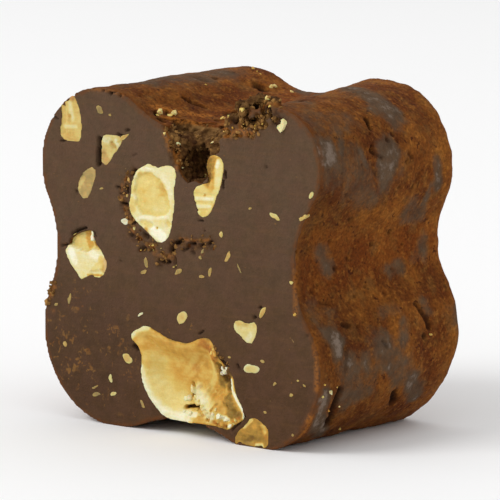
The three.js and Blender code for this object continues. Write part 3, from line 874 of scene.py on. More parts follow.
# The darkest tones, laid along the sinks of the shell and a few other pieces, are painted shade in the
# nut's cracks and pits.
NUT_LOOKS = {
    "hazelnut_shell": dict(
        tone=0.52, rim=0.42, rim_width=0.14, dish=(0.75, 0.14, 1.5), grain=0.03,
        sinks=[
            (-0.45, 0.9, (1.2, 2.6), (2.2, 2.2), (3.4, 2.2)), (0.35, 0.45, (2.8, 4.7), (3.1, 3.9)),
            (0.3, 0.4, (3.5, 4.2), (3.5, 3.3)), (0.12, 0.3, (3.5, 2.2)),
            (0.5, 0.14, (-0.1, 1.8), (0.6, 1.9), (1.2, 1.95)), (0.3, 0.15, (0.2, 3.3), (0.5, 2.6)),
            (0.3, 0.2, (2.3, 5.0), (2.3, 4.3)), (0.3, 0.16, (1.9, 1.25)), (0.3, 0.16, (2.75, 1.1)),
            (0.3, 0.14, (3.5, 1.05)), (0.25, 0.14, (4.05, 1.25)),
        ],
        tones=[
            (0.63, 1.2, (-2.6, 4.4), (-2.3, 3.2), (-0.9, 2.3)),
            (0.73, 0.9, (-2.6, 3.0), (-1.5, 2.1), (-0.3, 1.8)),
            (0.92, 0.62, (-3.6, 3.9), (-3.3, 2.9), (-2.7, 2.0), (-1.9, 1.4), (-0.9, 1.1), (0.2, 1.1)),
            (0.82, 0.32, (-4.3, 5.9), (-3.7, 6.45), (-2.9, 6.65)), (0.55, 0.6, (-3.5, 5.7), (-2.6, 5.9)),
            (0.5, 0.7, (0.3, 4.4), (1.3, 4.9)), (0.57, 0.3, (-0.4, 4.0), (0.9, 5.3)),
            (0.56, 0.2, (0.1, 3.8), (1.4, 5.1)), (0.62, 0.3, (2.05, 5.0), (2.0, 4.0), (1.7, 3.2)),
            (0.34, 0.5, (2.5, 5.2), (2.7, 4.3), (2.7, 3.4)), (0.2, 0.5, (2.9, 4.6), (3.1, 3.9)),
            (0.2, 0.5, (3.6, 4.4), (3.55, 3.3)), (0.5, 0.6, (2.4, 2.9), (3.5, 2.8)),
            (0.33, 0.6, (3.5, 2.6), (3.9, 1.9)), (0.84, 0.7, (0.7, 2.9), (1.5, 2.4), (2.1, 1.6)),
            (0.97, 0.18, (3.85, 4.0), (3.95, 3.4), (4.3, 2.8), (4.75, 2.25), (4.9, 1.7)),
            (0.96, 0.24, (2.9, 1.6), (3.6, 1.5)), (0.96, 0.16, (3.7, 1.05)),
            (0.92, 0.26, (0.2, 1.4), (0.9, 1.45)), (0.1, 0.13, (-0.1, 1.8), (0.6, 1.9), (1.2, 1.95)),
            (0.38, 0.3, (4.2, 1.6), (4.6, 1.9)), (0.3, 0.14, (2.5, 1.2), (3.2, 1.1)),
            (0.3, 0.12, (0.3, 2.7), (0.2, 2.5)), (0.4, 0.14, (2.3, 1.9), (2.6, 2.3)),
            (0.15, 0.13, (1.9, 1.25)), (0.12, 0.14, (2.75, 1.1)), (0.15, 0.13, (3.5, 1.05)),
            (0.2, 0.12, (4.05, 1.25)), (0.96, 0.14, (3.75, 1.15)), (0.9, 0.13, (2.35, 1.4)),
        ],
        husks=[
            (0.8, 0.42, (1.5, 6.1), (2.1, 5.8), (2.2, 5.3)), (0.6, 0.3, (2.5, 5.7), (2.6, 5.2)),
            (0.4, 0.5, (0.4, 4.3)), (0.4, 0.2, (1.0, 3.2)), (0.5, 0.2, (1.5, 1.5)), (0.4, 0.16, (2.3, 1.7)),
            (0.6, 0.2, (2.4, 1.2), (3.3, 1.1)), (0.6, 0.16, (4.0, 1.4), (4.5, 1.7)),
        ],
        rough=[
            (1.0, 0.8, (0.8, 2.7), (2.0, 2.1), (3.4, 1.4)), (1.0, 0.5, (2.2, 1.1), (3.4, 0.9), (4.2, 1.3)),
            (0.9, 0.35, (2.4, 5.8), (3.0, 4.9), (3.6, 4.4)),
        ],
    ),
    "hazelnut_kernel": dict(
        tone=0.84, rim=0.78, rim_width=0.12, grain=0.015,
        sinks=[
            (0.14, 0.14, *KERNEL_DISH), (-0.08, 1.3, (-2.6, 15.0)),
            (0.1, 0.25, (-3.3, 13.25), (-2.6, 13.15)), (0.08, 0.12, (-2.1, 13.0)), (0.1, 0.3, (-1.2, 13.3)),
        ],
        tones=[
            (0.69, 0.2, *KERNEL_DISH), (0.62, 0.5, (-1.9, 15.8), (-1.6, 15.3)),
            (0.64, 0.4, (-3.5, 15.2), (-3.4, 14.8)), (0.66, 0.25, (-3.5, 16.3), (-2.6, 16.35)),
            (0.76, 0.5, (-2.2, 14.2), (-1.8, 14.4)), (0.72, 0.3, (-4.1, 15.8), (-4.05, 15.2)),
            (0.7, 0.35, (-4.1, 14.6), (-4.1, 14.0)), (0.9, 0.3, (-1.7, 16.2), (-1.2, 15.9), (-1.0, 15.3)),
            (0.92, 0.2, (-3.3, 16.65), (-2.4, 16.62)),
            (0.93, 0.18, (-3.8, 13.4), (-3.2, 13.62), (-2.2, 13.58), (-1.2, 13.75)),
            (0.74, 0.25, (-3.3, 13.25), (-2.6, 13.15)), (0.78, 0.3, (-2.2, 13.3), (-1.6, 13.3)),
            (0.7, 0.24, (-1.2, 13.35)), (1.0, 0.5, (-2.3, 12.75), (-1.6, 12.45)),
            (0.45, 0.13, (-2.1, 13.0)), (0.6, 0.2, (-3.0, 12.85)), (0.8, 0.2, (-0.85, 14.6), (-0.9, 13.6)),
        ],
        husks=[
            (0.25, 0.4, (-1.8, 15.6)), (0.4, 0.16, (-3.1, 12.85), (-2.9, 12.7)), (0.2, 0.3, (-4.2, 14.1)),
        ],
        rough=[(0.6, 0.3, (-3.9, 13.5), (-3.0, 13.0)), (0.4, 0.25, (-3.8, 16.2), (-3.2, 16.6))],
    ),
    "hazelnut_chunk": dict(
        tone=0.84, rim=0.78, rim_width=0.12, grain=0.025,
        sinks=[
            (0.32, 0.1, *CHUNK_SHELF), (0.15, 0.2, (-7.3, 11.5)),
            (-0.25, 0.2, (-7.55, 11.85), (-7.55, 12.3)), (0.1, 0.3, (-7.5, 9.6), (-6.8, 9.7)),
        ],
        tones=[
            (0.68, 0.12, *CHUNK_SHELF), (0.5, 0.4, (-8.1, 12.2), (-7.9, 11.5)),
            (0.36, 0.25, (-7.4, 11.55), (-7.0, 11.4)), (0.95, 0.22, (-7.55, 11.9), (-7.55, 12.3)),
            (0.97, 0.4, (-9.3, 10.9), (-9.0, 10.3)), (0.94, 0.35, (-7.6, 10.9), (-7.1, 10.8)),
            (0.66, 0.35, (-6.8, 10.6), (-6.7, 10.0)), (0.74, 0.3, (-7.4, 9.9), (-7.0, 10.2)),
            (0.5, 0.12, (-7.9, 9.5), (-6.8, 9.55)), (0.8, 0.3, (-8.4, 9.5)),
        ],
        husks=[(0.5, 0.3, (-6.4, 10.6), (-6.5, 9.9)), (0.25, 0.2, (-7.3, 11.5)), (0.3, 0.4, (-8.0, 11.9))],
        rough=[(0.6, 0.5, (-9.0, 11.7), (-7.6, 11.7))],
    ),
    "hazelnut_crescent": dict(
        tone=0.72, rim=0.68, rim_width=0.1, grain=0.025,
        sinks=[
            (0.14, 0.3, (2.2, 17.4), (2.0, 16.9), (2.0, 16.3)), (0.05, 0.1, (1.0, 15.4), (2.5, 15.4)),
            (0.05, 0.1, (1.1, 14.87), (2.35, 14.92)), (0.05, 0.1, (1.2, 14.4), (2.0, 14.45)),
        ],
        tones=[
            (0.38, 0.75, (2.25, 17.5), (2.1, 17.0), (2.05, 16.3)), (0.3, 0.3, (2.0, 16.9), (1.95, 16.4)),
            (0.55, 0.3, (2.4, 16.2), (2.3, 15.9)), (0.8, 0.32, (2.95, 17.3), (2.85, 16.8), (2.75, 16.1)),
            (0.94, 0.22, (2.85, 17.5), (2.75, 17.2)), (0.72, 0.6, (1.5, 15.6), (2.0, 15.2), (1.9, 14.7)),
            (0.5, 0.14, (1.75, 15.35)), (0.9, 0.17, (1.1, 15.13), (2.4, 15.18)),
            (0.66, 0.12, (1.1, 14.87), (2.35, 14.92)), (0.86, 0.15, (1.2, 14.65), (2.2, 14.7)),
            (0.66, 0.12, (1.2, 14.4), (2.0, 14.45)), (0.62, 0.2, (1.5, 14.15), (1.8, 14.25)),
        ],
        husks=[(0.6, 0.2, (1.85, 16.6), (1.85, 16.3)), (0.25, 0.14, (1.75, 15.35))],
        rough=[(0.5, 0.2, (1.8, 16.6), (1.9, 16.2))],
    ),
    "hazelnut_upper_edge": dict(
        muted=0.22, tone=0.6, rim=0.57, rim_width=0.12, grain=0.025,
        sinks=[(0.1, 0.3, (-9.9, 20.2), (-9.9, 18.6)), (0.06, 0.2, (-9.3, 19.6), (-9.3, 19.3))],
        tones=[
            (0.56, 0.3, (-9.95, 20.3), (-9.9, 19.3)), (0.82, 0.25, (-9.3, 20.4), (-9.1, 19.4)),
            (0.62, 0.25, (-8.65, 20.0), (-8.6, 18.6)), (0.52, 0.18, (-9.35, 19.6)),
            (0.8, 0.17, (-9.8, 18.9), (-8.8, 18.95)), (0.56, 0.28, (-9.6, 18.3), (-8.8, 18.2)),
            (0.84, 0.2, (-9.9, 20.6)),
        ],
        husks=[(0.8, 0.32, (-9.7, 20.95), (-9.1, 20.8)), (0.3, 0.2, (-8.5, 19.9))],
        rough=[(0.4, 0.4, (-9.4, 20.5), (-9.3, 18.4))],
    ),
    "hazelnut_foot": dict(
        tone=0.38, rim=0.46, rim_width=0.12, grain=0.02,
        sinks=[(0.12, 0.3, (6.3, 1.1)), (0.08, 0.3, (5.0, 0.5), (5.4, 0.4))],
        tones=[
            (0.58, 0.28, (6.37, 1.36), (6.5, 1.1)), (0.76, 0.24, (5.9, 0.15), (6.3, 0.2)),
            (0.66, 0.18, (4.9, 1.2), (5.5, 1.7)), (0.46, 0.3, (5.7, 1.3)),
            (0.3, 0.2, (5.2, 0.4), (5.6, 0.6)),
        ],
        husks=[(0.4, 0.2, (6.6, 0.75)), (0.3, 0.2, (5.1, 1.35))],
        rough=[(0.5, 0.4, (6.3, 1.2), (6.3, 0.4))],
    ),
    "hazelnut_wedge": dict(
        muted=0.35, tone=0.64, rim=0.62, rim_width=0.1, grain=0.03,
        sinks=[(0.15, 0.2, (-5.8, 18.1), (-5.6, 17.85)), (0.08, 0.3, (-6.4, 17.3))],
        tones=[
            (0.88, 0.32, (-6.4, 18.3), (-6.0, 18.25)), (0.5, 0.2, (-5.85, 18.1), (-5.6, 17.9)),
            (0.9, 0.18, (-5.5, 18.3), (-5.25, 17.9)), (0.56, 0.4, (-6.5, 17.5), (-6.3, 17.0)),
            (0.68, 0.3, (-5.9, 17.3)), (0.6, 0.2, (-5.1, 18.4)),
        ],
        husks=[(0.5, 0.35, (-6.5, 17.4), (-6.3, 16.9)), (0.5, 0.12, (-5.0, 18.45))],
        rough=[(0.6, 0.4, (-6.2, 18.2), (-5.6, 17.9))],
    ),
    "hazelnut_sliver": dict(
        muted=0.45, tone=0.42, rim=0.4, rim_width=0.1, grain=0.02,
        sinks=[(0.06, 0.2, (-8.2, 15.8), (-7.7, 15.2))],
        tones=[
            (0.58, 0.18, (-8.55, 15.1), (-8.2, 15.7)), (0.4, 0.22, (-7.6, 16.1), (-7.45, 15.5)),
            (0.52, 0.2, (-8.1, 14.7)), (0.36, 0.1, (-8.1, 15.4), (-7.9, 15.1)),
        ],
        husks=[(0.2, 0.2, (-7.3, 16.2))],
        rough=[(0.5, 0.4, (-8.0, 15.5))],
    ),
    "hazelnut_triangle": dict(
        muted=0.25, tone=0.76, rim=0.7, rim_width=0.1, grain=0.02,
        sinks=[(0.07, 0.25, (4.8, 7.4), (5.3, 7.5))],
        tones=[
            (0.6, 0.24, (4.4, 7.6), (5.0, 7.6)), (0.9, 0.25, (5.4, 7.0), (5.2, 6.7)),
            (0.66, 0.2, (5.7, 7.6)),
        ],
        rough=[(0.5, 0.3, (4.9, 7.4))],
    ),
}
for kind in ("sinks", "tones", "husks", "rough"):
    print(kind, "on all nut pieces:", sum(len(look.get(kind, [])) for look in NUT_LOOKS.values()))

# %% [markdown]
# ## How a mark covers a nut
# A scratch is a line and a hollow is an area, and both have soft edges. For a line, the share falls
# with the distance from it. For an area, a point's distance from the edge counts as negative inside,
# which a ray tells: it crosses the edge an odd number of times when it starts inside.

# %% Lines and areas with soft edges
def inside_area(point, corners):
    """Which points lie within a closed line of corners."""
    inside = np.zeros(len(point), bool)
    for (ax, az), (bx, bz) in zip(corners[:-1], corners[1:]):
        passes = (az > point.imag) != (bz > point.imag)
        if az != bz:
            inside ^= passes & (point.real < ax + (point.imag - az) * (bx - ax) / (bz - az))
    return inside


def mark_share(point, wobble, reach, corners):
    """How strongly a mark covers each point of the cut face."""
    flat = np.stack([point.real, np.zeros(len(point)), point.imag], axis=1)
    far = line_distance(flat, [(x, 0.0, z) for x, z in corners])
    if len(corners) > 2 and corners[0] == corners[-1]:
        far = np.where(inside_area(point, corners), -far, far) + 0.1 * wobble
        return step(reach / 2, -reach / 2, far)
    return step(1.0, 0.35, far / reach * (1 + 0.35 * wobble))


square = [(-1, -1), (1, -1), (1, 1), (-1, 1), (-1, -1)]
print("a soft square at its middle and edge:", mark_share(np.array([0j, 1 + 0j]), 0.0, 0.2, square))

# %% [markdown]
# ## Shaping the nuts
# Each block is poured over with a fine skin, its front is pressed in and roughened, and tone, husk and
# greyness are painted on. The hollows could be cut with more Booleans, but their slopes are soft, and
# a push along the bar keeps the rim where the knife left it.

# %% Give each nut piece its skin, its hollows and its colour shares
NUT_VOXEL = 0.06


def shape_nut(node, block, look):
    pour_skin(block, NUT_VOXEL)
    rows = places(block)
    point = rows[:, 0] + 1j * rows[:, 2]
    wobble = noise_at(rows, 2.2, 5.0) + 0.7 * noise_at(rows, 6.0, 9.0)
    front = step(0.1, 0.04, rows[:, 1] - CUT_Y)
    rim = np.stack([rims[node].real, np.full(RIM_POINTS, CUT_Y), rims[node].imag], axis=1)
    flat = np.stack([rows[:, 0], np.full(len(rows), CUT_Y), rows[:, 2]], axis=1)
    from_rim = line_distance(flat, list(rim) + [rim[0]])

    depth, band, slope = look.get("dish", NO_DISH)
    sink = depth * step(band, band + slope, from_rim)
    for deep, reach, *corners in look["sinks"]:
        sink += deep * mark_share(point, wobble, reach, corners)
    rows[:, 1] += front * np.clip(sink, 0.0, None)
    place_all(block, rows)
    chipped = np.zeros(len(rows))
    for share, reach, *corners in look["rough"]:
        chipped = np.maximum(chipped, share * mark_share(point, wobble, reach, corners))
    roughen(block, front * step(0.02, 0.15, from_rim), 0.5, look["grain"])
    roughen(block, front * chipped * step(0.0, 0.2, from_rim), 0.4, 0.3, middle=0.3)
    roughen(block, 1 - front, 0.4, 0.06, middle=1.0)

    rim_share = step(look["rim_width"], 0.0, from_rim * (1 + 0.6 * wobble))
    tone = look["tone"] + (look["rim"] - look["tone"]) * rim_share
    for value, reach, *corners in look["tones"]:
        tone += (value - tone) * mark_share(point, wobble, reach, corners)
    husk = np.zeros(len(rows))
    for value, reach, *corners in look.get("husks", []):
        husk = np.maximum(husk, value * mark_share(point, wobble, reach, corners))
    paint(block, "tone", tone + 0.05 * wobble)
    paint(block, "husk", husk)
    paint(block, "muted", np.full(len(rows), look.get("muted", 0.0)))
    return block


nuts = {node: shape_nut(node, blocks[node], look) for node, look in NUT_LOOKS.items()}
for node, nut in nuts.items():
    print(nut.name, triangles(nut), "triangles")

# %% [markdown]
# ## Small bits of nut
# Chopping leaves dust and splinters as well. Each splinter starts as a ball with few corners, which
# are pulled about, and a subdivision surface makes a pebble of it. The knife cut the pebbles flush
# with the face, so whatever stands in front of the face is pressed flat.

# %% Where the bits lie
FACE_BITS = [  # x, z, half length, half width, angle of the long side, tones of the rim and the middle
    (5.5, 4.87, 0.66, 0.36, -4, 0.84, 0.66), (-0.15, 7.5, 0.6, 0.48, 42, 0.72, 0.6),
    (-4.6, 4.5, 0.5, 0.46, 10, 0.72, 0.5), (7.27, 14.45, 0.45, 0.2, -20, 0.72, 0.6),
    (-6.75, 20.15, 0.48, 0.28, -18, 0.42, 0.36), (-4.75, 13.2, 0.38, 0.3, 25, 0.99, 0.96),
    (-3.95, 12.82, 0.17, 0.14, 60, 0.7, 0.64), (3.6, 11.68, 0.54, 0.17, 62, 0.52, 0.44),
    (3.1, 13.02, 0.28, 0.17, 80, 0.66, 0.58), (2.22, 10.65, 0.48, 0.16, 70, 0.46, 0.4),
    (-3.0, 10.75, 0.42, 0.2, 110, 0.42, 0.36), (-3.25, 10.12, 0.4, 0.17, 30, 0.42, 0.36),
    (-0.42, 10.42, 0.34, 0.2, 25, 0.44, 0.38), (1.5, 10.25, 0.24, 0.12, 0, 0.44, 0.38),
    (1.6, 11.85, 0.2, 0.1, 60, 0.34, 0.3), (1.42, 11.45, 0.16, 0.12, 0, 0.36, 0.32),
    (6.35, 8.45, 0.66, 0.18, 58, 0.6, 0.5), (-4.85, 18.5, 0.72, 0.13, 34, 0.62, 0.5),
    (10.1, 16.02, 0.33, 0.16, 55, 0.78, 0.7), (9.43, 14.58, 0.3, 0.15, 38, 0.6, 0.55),
    (-9.5, 7.7, 0.42, 0.16, 75, 0.38, 0.34), (-6.02, 3.03, 0.28, 0.17, 100, 0.8, 0.74),
    (-5.8, 2.03, 0.26, 0.17, 20, 0.76, 0.7), (-7.15, 1.85, 0.45, 0.2, 14, 0.36, 0.3),
    (-7.3, 2.3, 0.34, 0.08, 24, 0.44, 0.38), (-3.5, 7.37, 0.26, 0.1, 30, 0.86, 0.82),
    (-9.9, 4.85, 0.28, 0.22, 70, 0.42, 0.38), (8.55, 10.55, 0.15, 0.13, 0, 0.66, 0.62),
    (4.5, 11.1, 0.4, 0.07, -58, 0.34, 0.3), (5.35, 14.82, 0.16, 0.09, 10, 0.46, 0.42),
    (6.35, 5.45, 0.22, 0.11, -10, 0.4, 0.36), (7.3, 4.15, 0.2, 0.12, 30, 0.4, 0.38),
    (8.6, 3.62, 0.19, 0.13, 20, 0.48, 0.44), (6.58, 2.3, 0.14, 0.1, 0, 0.44, 0.4),
    (8.72, 1.15, 0.12, 0.1, 0, 0.44, 0.4), (9.6, 4.32, 0.15, 0.09, -20, 0.48, 0.44),
    (9.1, 4.55, 0.1, 0.07, 0, 0.48, 0.44), (-3.35, 1.62, 0.3, 0.16, -60, 0.36, 0.32),
    (-5.95, 19.85, 0.14, 0.1, 0, 0.4, 0.38), (-6.68, 15.15, 0.2, 0.12, 20, 0.38, 0.34),
    (3.38, 4.55, 0.34, 0.15, 62, 0.98, 0.94), (3.75, 5.42, 0.14, 0.1, 0, 0.46, 0.42),
    (-10.65, 7.3, 0.18, 0.12, 40, 0.38, 0.34), (-4.4, 15.9, 0.16, 0.12, 70, 0.5, 0.46),
    (-4.55, 14.85, 0.14, 0.11, 30, 0.5, 0.46),
]
longest = max(2 * length for _, _, length, *_ in FACE_BITS)
print(f"bits: {len(FACE_BITS)}, the longest {longest:.1f} mm")

# %% [markdown]
# ## Shaping the bits
# The same pebble serves as a bit of nut and, with fewer faces, as a crumb. A bit gets its length and
# width, is turned in the cut face and is pressed flush. Its rim is lighter than its middle, as on the
# large pieces, and noise keeps two bits from looking alike.

# %% Make the bits
BIT_DEPTH = 0.35
BIT_PROUD = 0.03
BITS_MUTED = 0.32


def add_pebble(radii, roundness=1, uneven=0.26):
    """A pebble with uneven corners, round the origin."""
    pick()
    bpy.ops.mesh.primitive_ico_sphere_add(subdivisions=1, radius=1.05)
    pebble = bpy.context.object
    rows = places(pebble)
    place_all(pebble, rows * (1 + uneven * draw.uniform(-1, 1, (len(rows), 1))) * radii)
    if roundness:
        modify(pebble, "SUBSURF", subdivision_type="SIMPLE", levels=1, render_levels=1)
        modify(pebble, "SUBSURF", levels=roundness, render_levels=roundness)
    return pebble


def turn(rows, degrees):
    """Turns rows in the cut face, anticlockwise as the viewer sees it."""
    spin = np.exp(1j * math.radians(degrees))
    point = (rows[:, 0] + 1j * rows[:, 2]) * spin
    return np.stack([point.real, rows[:, 1], point.imag], axis=1)


def join(name, parts):
    pick(*parts)
    bpy.ops.object.join()
    whole = bpy.context.object
    whole.name = whole.data.name = name
    bpy.ops.object.shade_smooth()
    return whole


def face_bit(x, z, length, width, angle, rim_tone, middle_tone):
    bit = add_pebble((length, BIT_DEPTH, width), uneven=0.3)
    rows = places(bit)
    rows *= 1 + 0.45 * noise_at(rows, 0.9 / math.sqrt(length * width), x)[:, None]
    inner = np.hypot(rows[:, 0] / length, rows[:, 2] / width)
    tone = middle_tone + (rim_tone - middle_tone) * step(0.35, 0.85, inner)
    rows = turn(rows, angle) + (x, CUT_Y + 0.12, z)
    tone += 0.08 * noise_at(rows, 3.0)
    rows[:, 1] = np.maximum(rows[:, 1], CUT_Y - BIT_PROUD)
    place_all(bit, rows)
    paint(bit, "tone", tone)
    paint(bit, "muted", np.full(len(rows), BITS_MUTED))
    return bit


nut_bits = join("nut_bits", [face_bit(*bit) for bit in FACE_BITS])
print("nut bits:", triangles(nut_bits), "triangles")

# %% [markdown]
# ## Crumbs
# The broken places are full of crumbs of chocolate, and a few of nut. They could be scattered with
# Geometry Nodes. Here each crumb is dropped on a point of the broken skin that is drawn at random, so
# every one of them touches what carries it.

# %% Where the crumbs lie
# reach in the face, depth behind it, how many, smallest and largest radius, tones, corners
BROKEN_ZONES = [
    (0.8, 1.6, 120, (0.07, 0.22), (0.3, 1.0),
     ((3.3, 19.4), (4.3, 19.9), (5.4, 20.0), (6.4, 20.6), (7.6, 20.3))),
    (0.45, 1.6, 40, (0.05, 0.18), (0.2, 0.9), ((4.1, 20.7), (5.0, 21.3), (6.0, 21.6), (6.9, 21.5))),
    (0.5, 0.4, 34, (0.05, 0.17), (0.3, 1.0),
     ((3.2, 19.7), (3.7, 19.3), (4.6, 19.6), (5.5, 19.6), (6.2, 20.1))),
    (0.45, 0.9, 44, (0.05, 0.16), (0.3, 0.9), ((-1.5, 19.5), (-1.2, 18.5), (-0.7, 17.3))),
    (0.8, 2.6, 24, (0.06, 0.14), (0.3, 0.8), ((-1.0, 19.5), (2.9, 19.4))),
    (0.8, 2.0, 30, (0.06, 0.15), (0.2, 0.8), ((0.4, 18.5), (2.4, 18.2))),
    (1.0, 2.9, 24, (0.08, 0.2), (0.0, 0.25), ((0.2, 17.6), (0.6, 16.8))),
    (0.55, 0.2, 40, (0.05, 0.13), (0.2, 0.7), ((-1.7, 11.0), (-0.9, 11.9), (0.0, 12.3), (2.2, 12.4))),
    (0.45, 0.2, 22, (0.05, 0.13), (0.3, 0.8), ((-4.1, 12.6), (-3.3, 11.7), (-2.3, 11.9))),
    (0.4, 0.3, 24, (0.06, 0.15), (0.3, 0.9), ((-4.1, 13.1), (-4.8, 14.2), (-4.9, 15.1), (-4.1, 16.4))),
    (0.3, 0.2, 12, (0.05, 0.12), (0.3, 0.9), ((2.5, 5.9), (3.6, 4.6))),
    (0.3, 0.4, 22, (0.07, 0.19), (0.4, 1.0), ((-10.9, 8.6), (-11.3, 7.9), (-11.5, 7.4))),
]
NUT_CRUMB_ZONES = [
    (1.2, 2.4, 6, (0.05, 0.11), (0.5, 0.8), ((0.6, 19.4), (2.6, 18.4))),
    (0.6, 1.2, 9, (0.05, 0.11), (0.45, 0.8), ((4.3, 20.2), (7.2, 20.8))),
    (0.5, 0.2, 7, (0.04, 0.09), (0.4, 0.7), ((-3.2, 11.6), (-0.8, 11.0))),
]
SHELL_CRUMBS = [  # radius, tone, and where the eye sees it on the cut plane
    (0.32, 0.82, (0.85, 3.05)), (0.24, 0.76, (1.05, 2.65)), (0.2, 0.88, (0.6, 2.5)),
    (0.15, 0.86, (0.25, 2.4)), (0.14, 0.9, (0.1, 1.6)), (0.18, 0.93, (0.6, 1.5)), (0.16, 0.74, (1.57, 2.1)),
    (0.16, 0.78, (1.83, 1.7)), (0.14, 0.7, (1.37, 1.55)), (0.14, 0.5, (2.1, 1.3)),
    (0.18, 0.92, (2.43, 1.7)), (0.2, 0.98, (2.9, 1.6)), (0.17, 0.96, (3.37, 1.5)), (0.13, 0.8, (2.63, 2.0)),
    (0.13, 0.5, (3.17, 1.15)), (0.15, 0.98, (3.77, 1.12)), (0.12, 0.66, (4.1, 1.3)),
    (0.12, 0.7, (4.23, 1.5)), (0.12, 0.56, (2.45, 5.75)), (0.13, 0.5, (2.6, 5.45)),
    (0.12, 0.6, (2.3, 5.55)), (0.17, 1.0, (3.25, 4.7)), (0.14, 0.96, (3.15, 4.4)), (0.1, 0.6, (1.2, 1.85)),
    (0.1, 0.6, (1.3, 2.4)), (0.12, 0.7, (0.95, 2.45)), (0.1, 0.56, (2.8, 1.25)),
]
AIMED_CRUMBS = [  # radius, tone, and where the eye sees it on the cut plane
    (0.25, 0.74, (-1.8, 20.28)), (0.15, 0.6, (-2.0, 20.08)), (0.25, 0.76, (-0.72, 20.3)),
    (0.15, 0.62, (-0.98, 20.16)), (0.16, 0.86, (-0.35, 18.4)), (0.1, 0.8, (0.0, 16.95)),
    (0.14, 0.62, (1.85, 16.6)), (0.2, 0.62, (4.75, 20.85)), (0.17, 0.6, (3.2, 20.2)),
    (0.17, 0.72, (6.7, 21.65)), (0.1, 0.6, (6.9, 21.2)), (0.36, 0.8, (7.95, 20.1)),
    (0.18, 0.74, (7.05, 22.35)), (0.16, 0.78, (7.3, 22.42)), (0.12, 0.7, (8.6, 22.15)),
    (0.12, 0.56, (5.6, 23.4)), (0.12, 0.5, (4.0, 19.7)), (0.1, 0.6, (3.7, 20.35)),
    (0.08, 0.6, (5.8, 19.75)), (0.1, 0.7, (-1.45, 19.0)), (0.17, 0.84, (11.6, 4.15)),
    (0.11, 0.66, (11.0, 3.8)), (0.09, 0.6, (12.1, 4.5)), (0.12, 0.74, (12.25, 3.35)),
    (0.1, 0.6, (12.3, 2.0)), (0.08, 0.56, (11.15, 4.55)), (0.12, 0.56, (8.85, 8.6)),
    (0.1, 0.5, (11.45, 3.0)), (0.1, 0.6, (1.95, 22.2)), (0.12, 0.6, (18.95, 8.45)), (0.1, 0.5, (6.2, 23.1)),
    (0.1, 0.5, (5.9, 23.25)),
]
drawn_crumbs = sum(count for _, _, count, *_ in BROKEN_ZONES + NUT_CRUMB_ZONES)
print("crumbs: drawn", drawn_crumbs, "aimed", len(SHELL_CRUMBS) + len(AIMED_CRUMBS))

# %% [markdown]
# ## Dropping the crumbs
# In a zone the crumbs fall anywhere on the skin near a line, but not in a pocket and, where the zone
# lies in a hollow, only below the old skin. The few pale crumbs that catch the eye are aimed instead.

# %% Scatter the crumbs and place the aimed ones
def crumb_at(place, radius, tone):
    crumb = add_pebble(radius * draw.uniform(0.55, 1.3, 3), roundness=0, uneven=0.4)
    crumb.rotation_euler = draw.uniform(0, 6.28, 3)
    crumb.location = place
    pick(crumb)
    bpy.ops.object.transform_apply()
    paint(crumb, "tone", np.full(len(crumb.data.vertices), tone))
    return crumb


def scatter(zones):
    crumbs = []
    for reach, depth, count, sizes, tones, corners in zones:
        near = (line_distance(flat, in_face(*corners)) < reach) & (skin_rows[:, 1] < CUT_Y + depth + 0.1)
        rough = near & ~in_pocket & ((from_whole > 0.12) | (depth < 0.5))
        for index in draw.choice(np.nonzero(rough)[0], count):
            crumbs.append(crumb_at(skin_rows[index], draw.uniform(*sizes), draw.uniform(*tones)))
    return crumbs


skin = skin_of(body)
skin_rows = places(body)
from_whole = np.array([whole_tree.find_nearest(Vector(row))[3] for row in skin_rows])
flat = np.stack([skin_rows[:, 0], np.full(len(skin_rows), CUT_Y), skin_rows[:, 2]], axis=1)
in_pocket = np.zeros(len(skin_rows), bool)
for node in NUT_MIDDLES:
    in_pocket |= inside_rim(skin_rows[:, 0] + 1j * skin_rows[:, 2], node, 0.05)
chocolate_crumbs = join("chocolate_crumbs", scatter(BROKEN_ZONES))
nut_crumb_parts = scatter(NUT_CRUMB_ZONES)
for carrier, aimed in ((skin, AIMED_CRUMBS), (skin_of(nuts["hazelnut_shell"]), SHELL_CRUMBS)):
    for radius, tone, spot in aimed:
        nut_crumb_parts += [crumb_at(place, radius, tone) for place in seen_at(carrier, spot)]
nut_crumbs = join("nut_crumbs", nut_crumb_parts)
print("crumbs:", triangles(chocolate_crumbs), "and", triangles(nut_crumbs), "triangles")
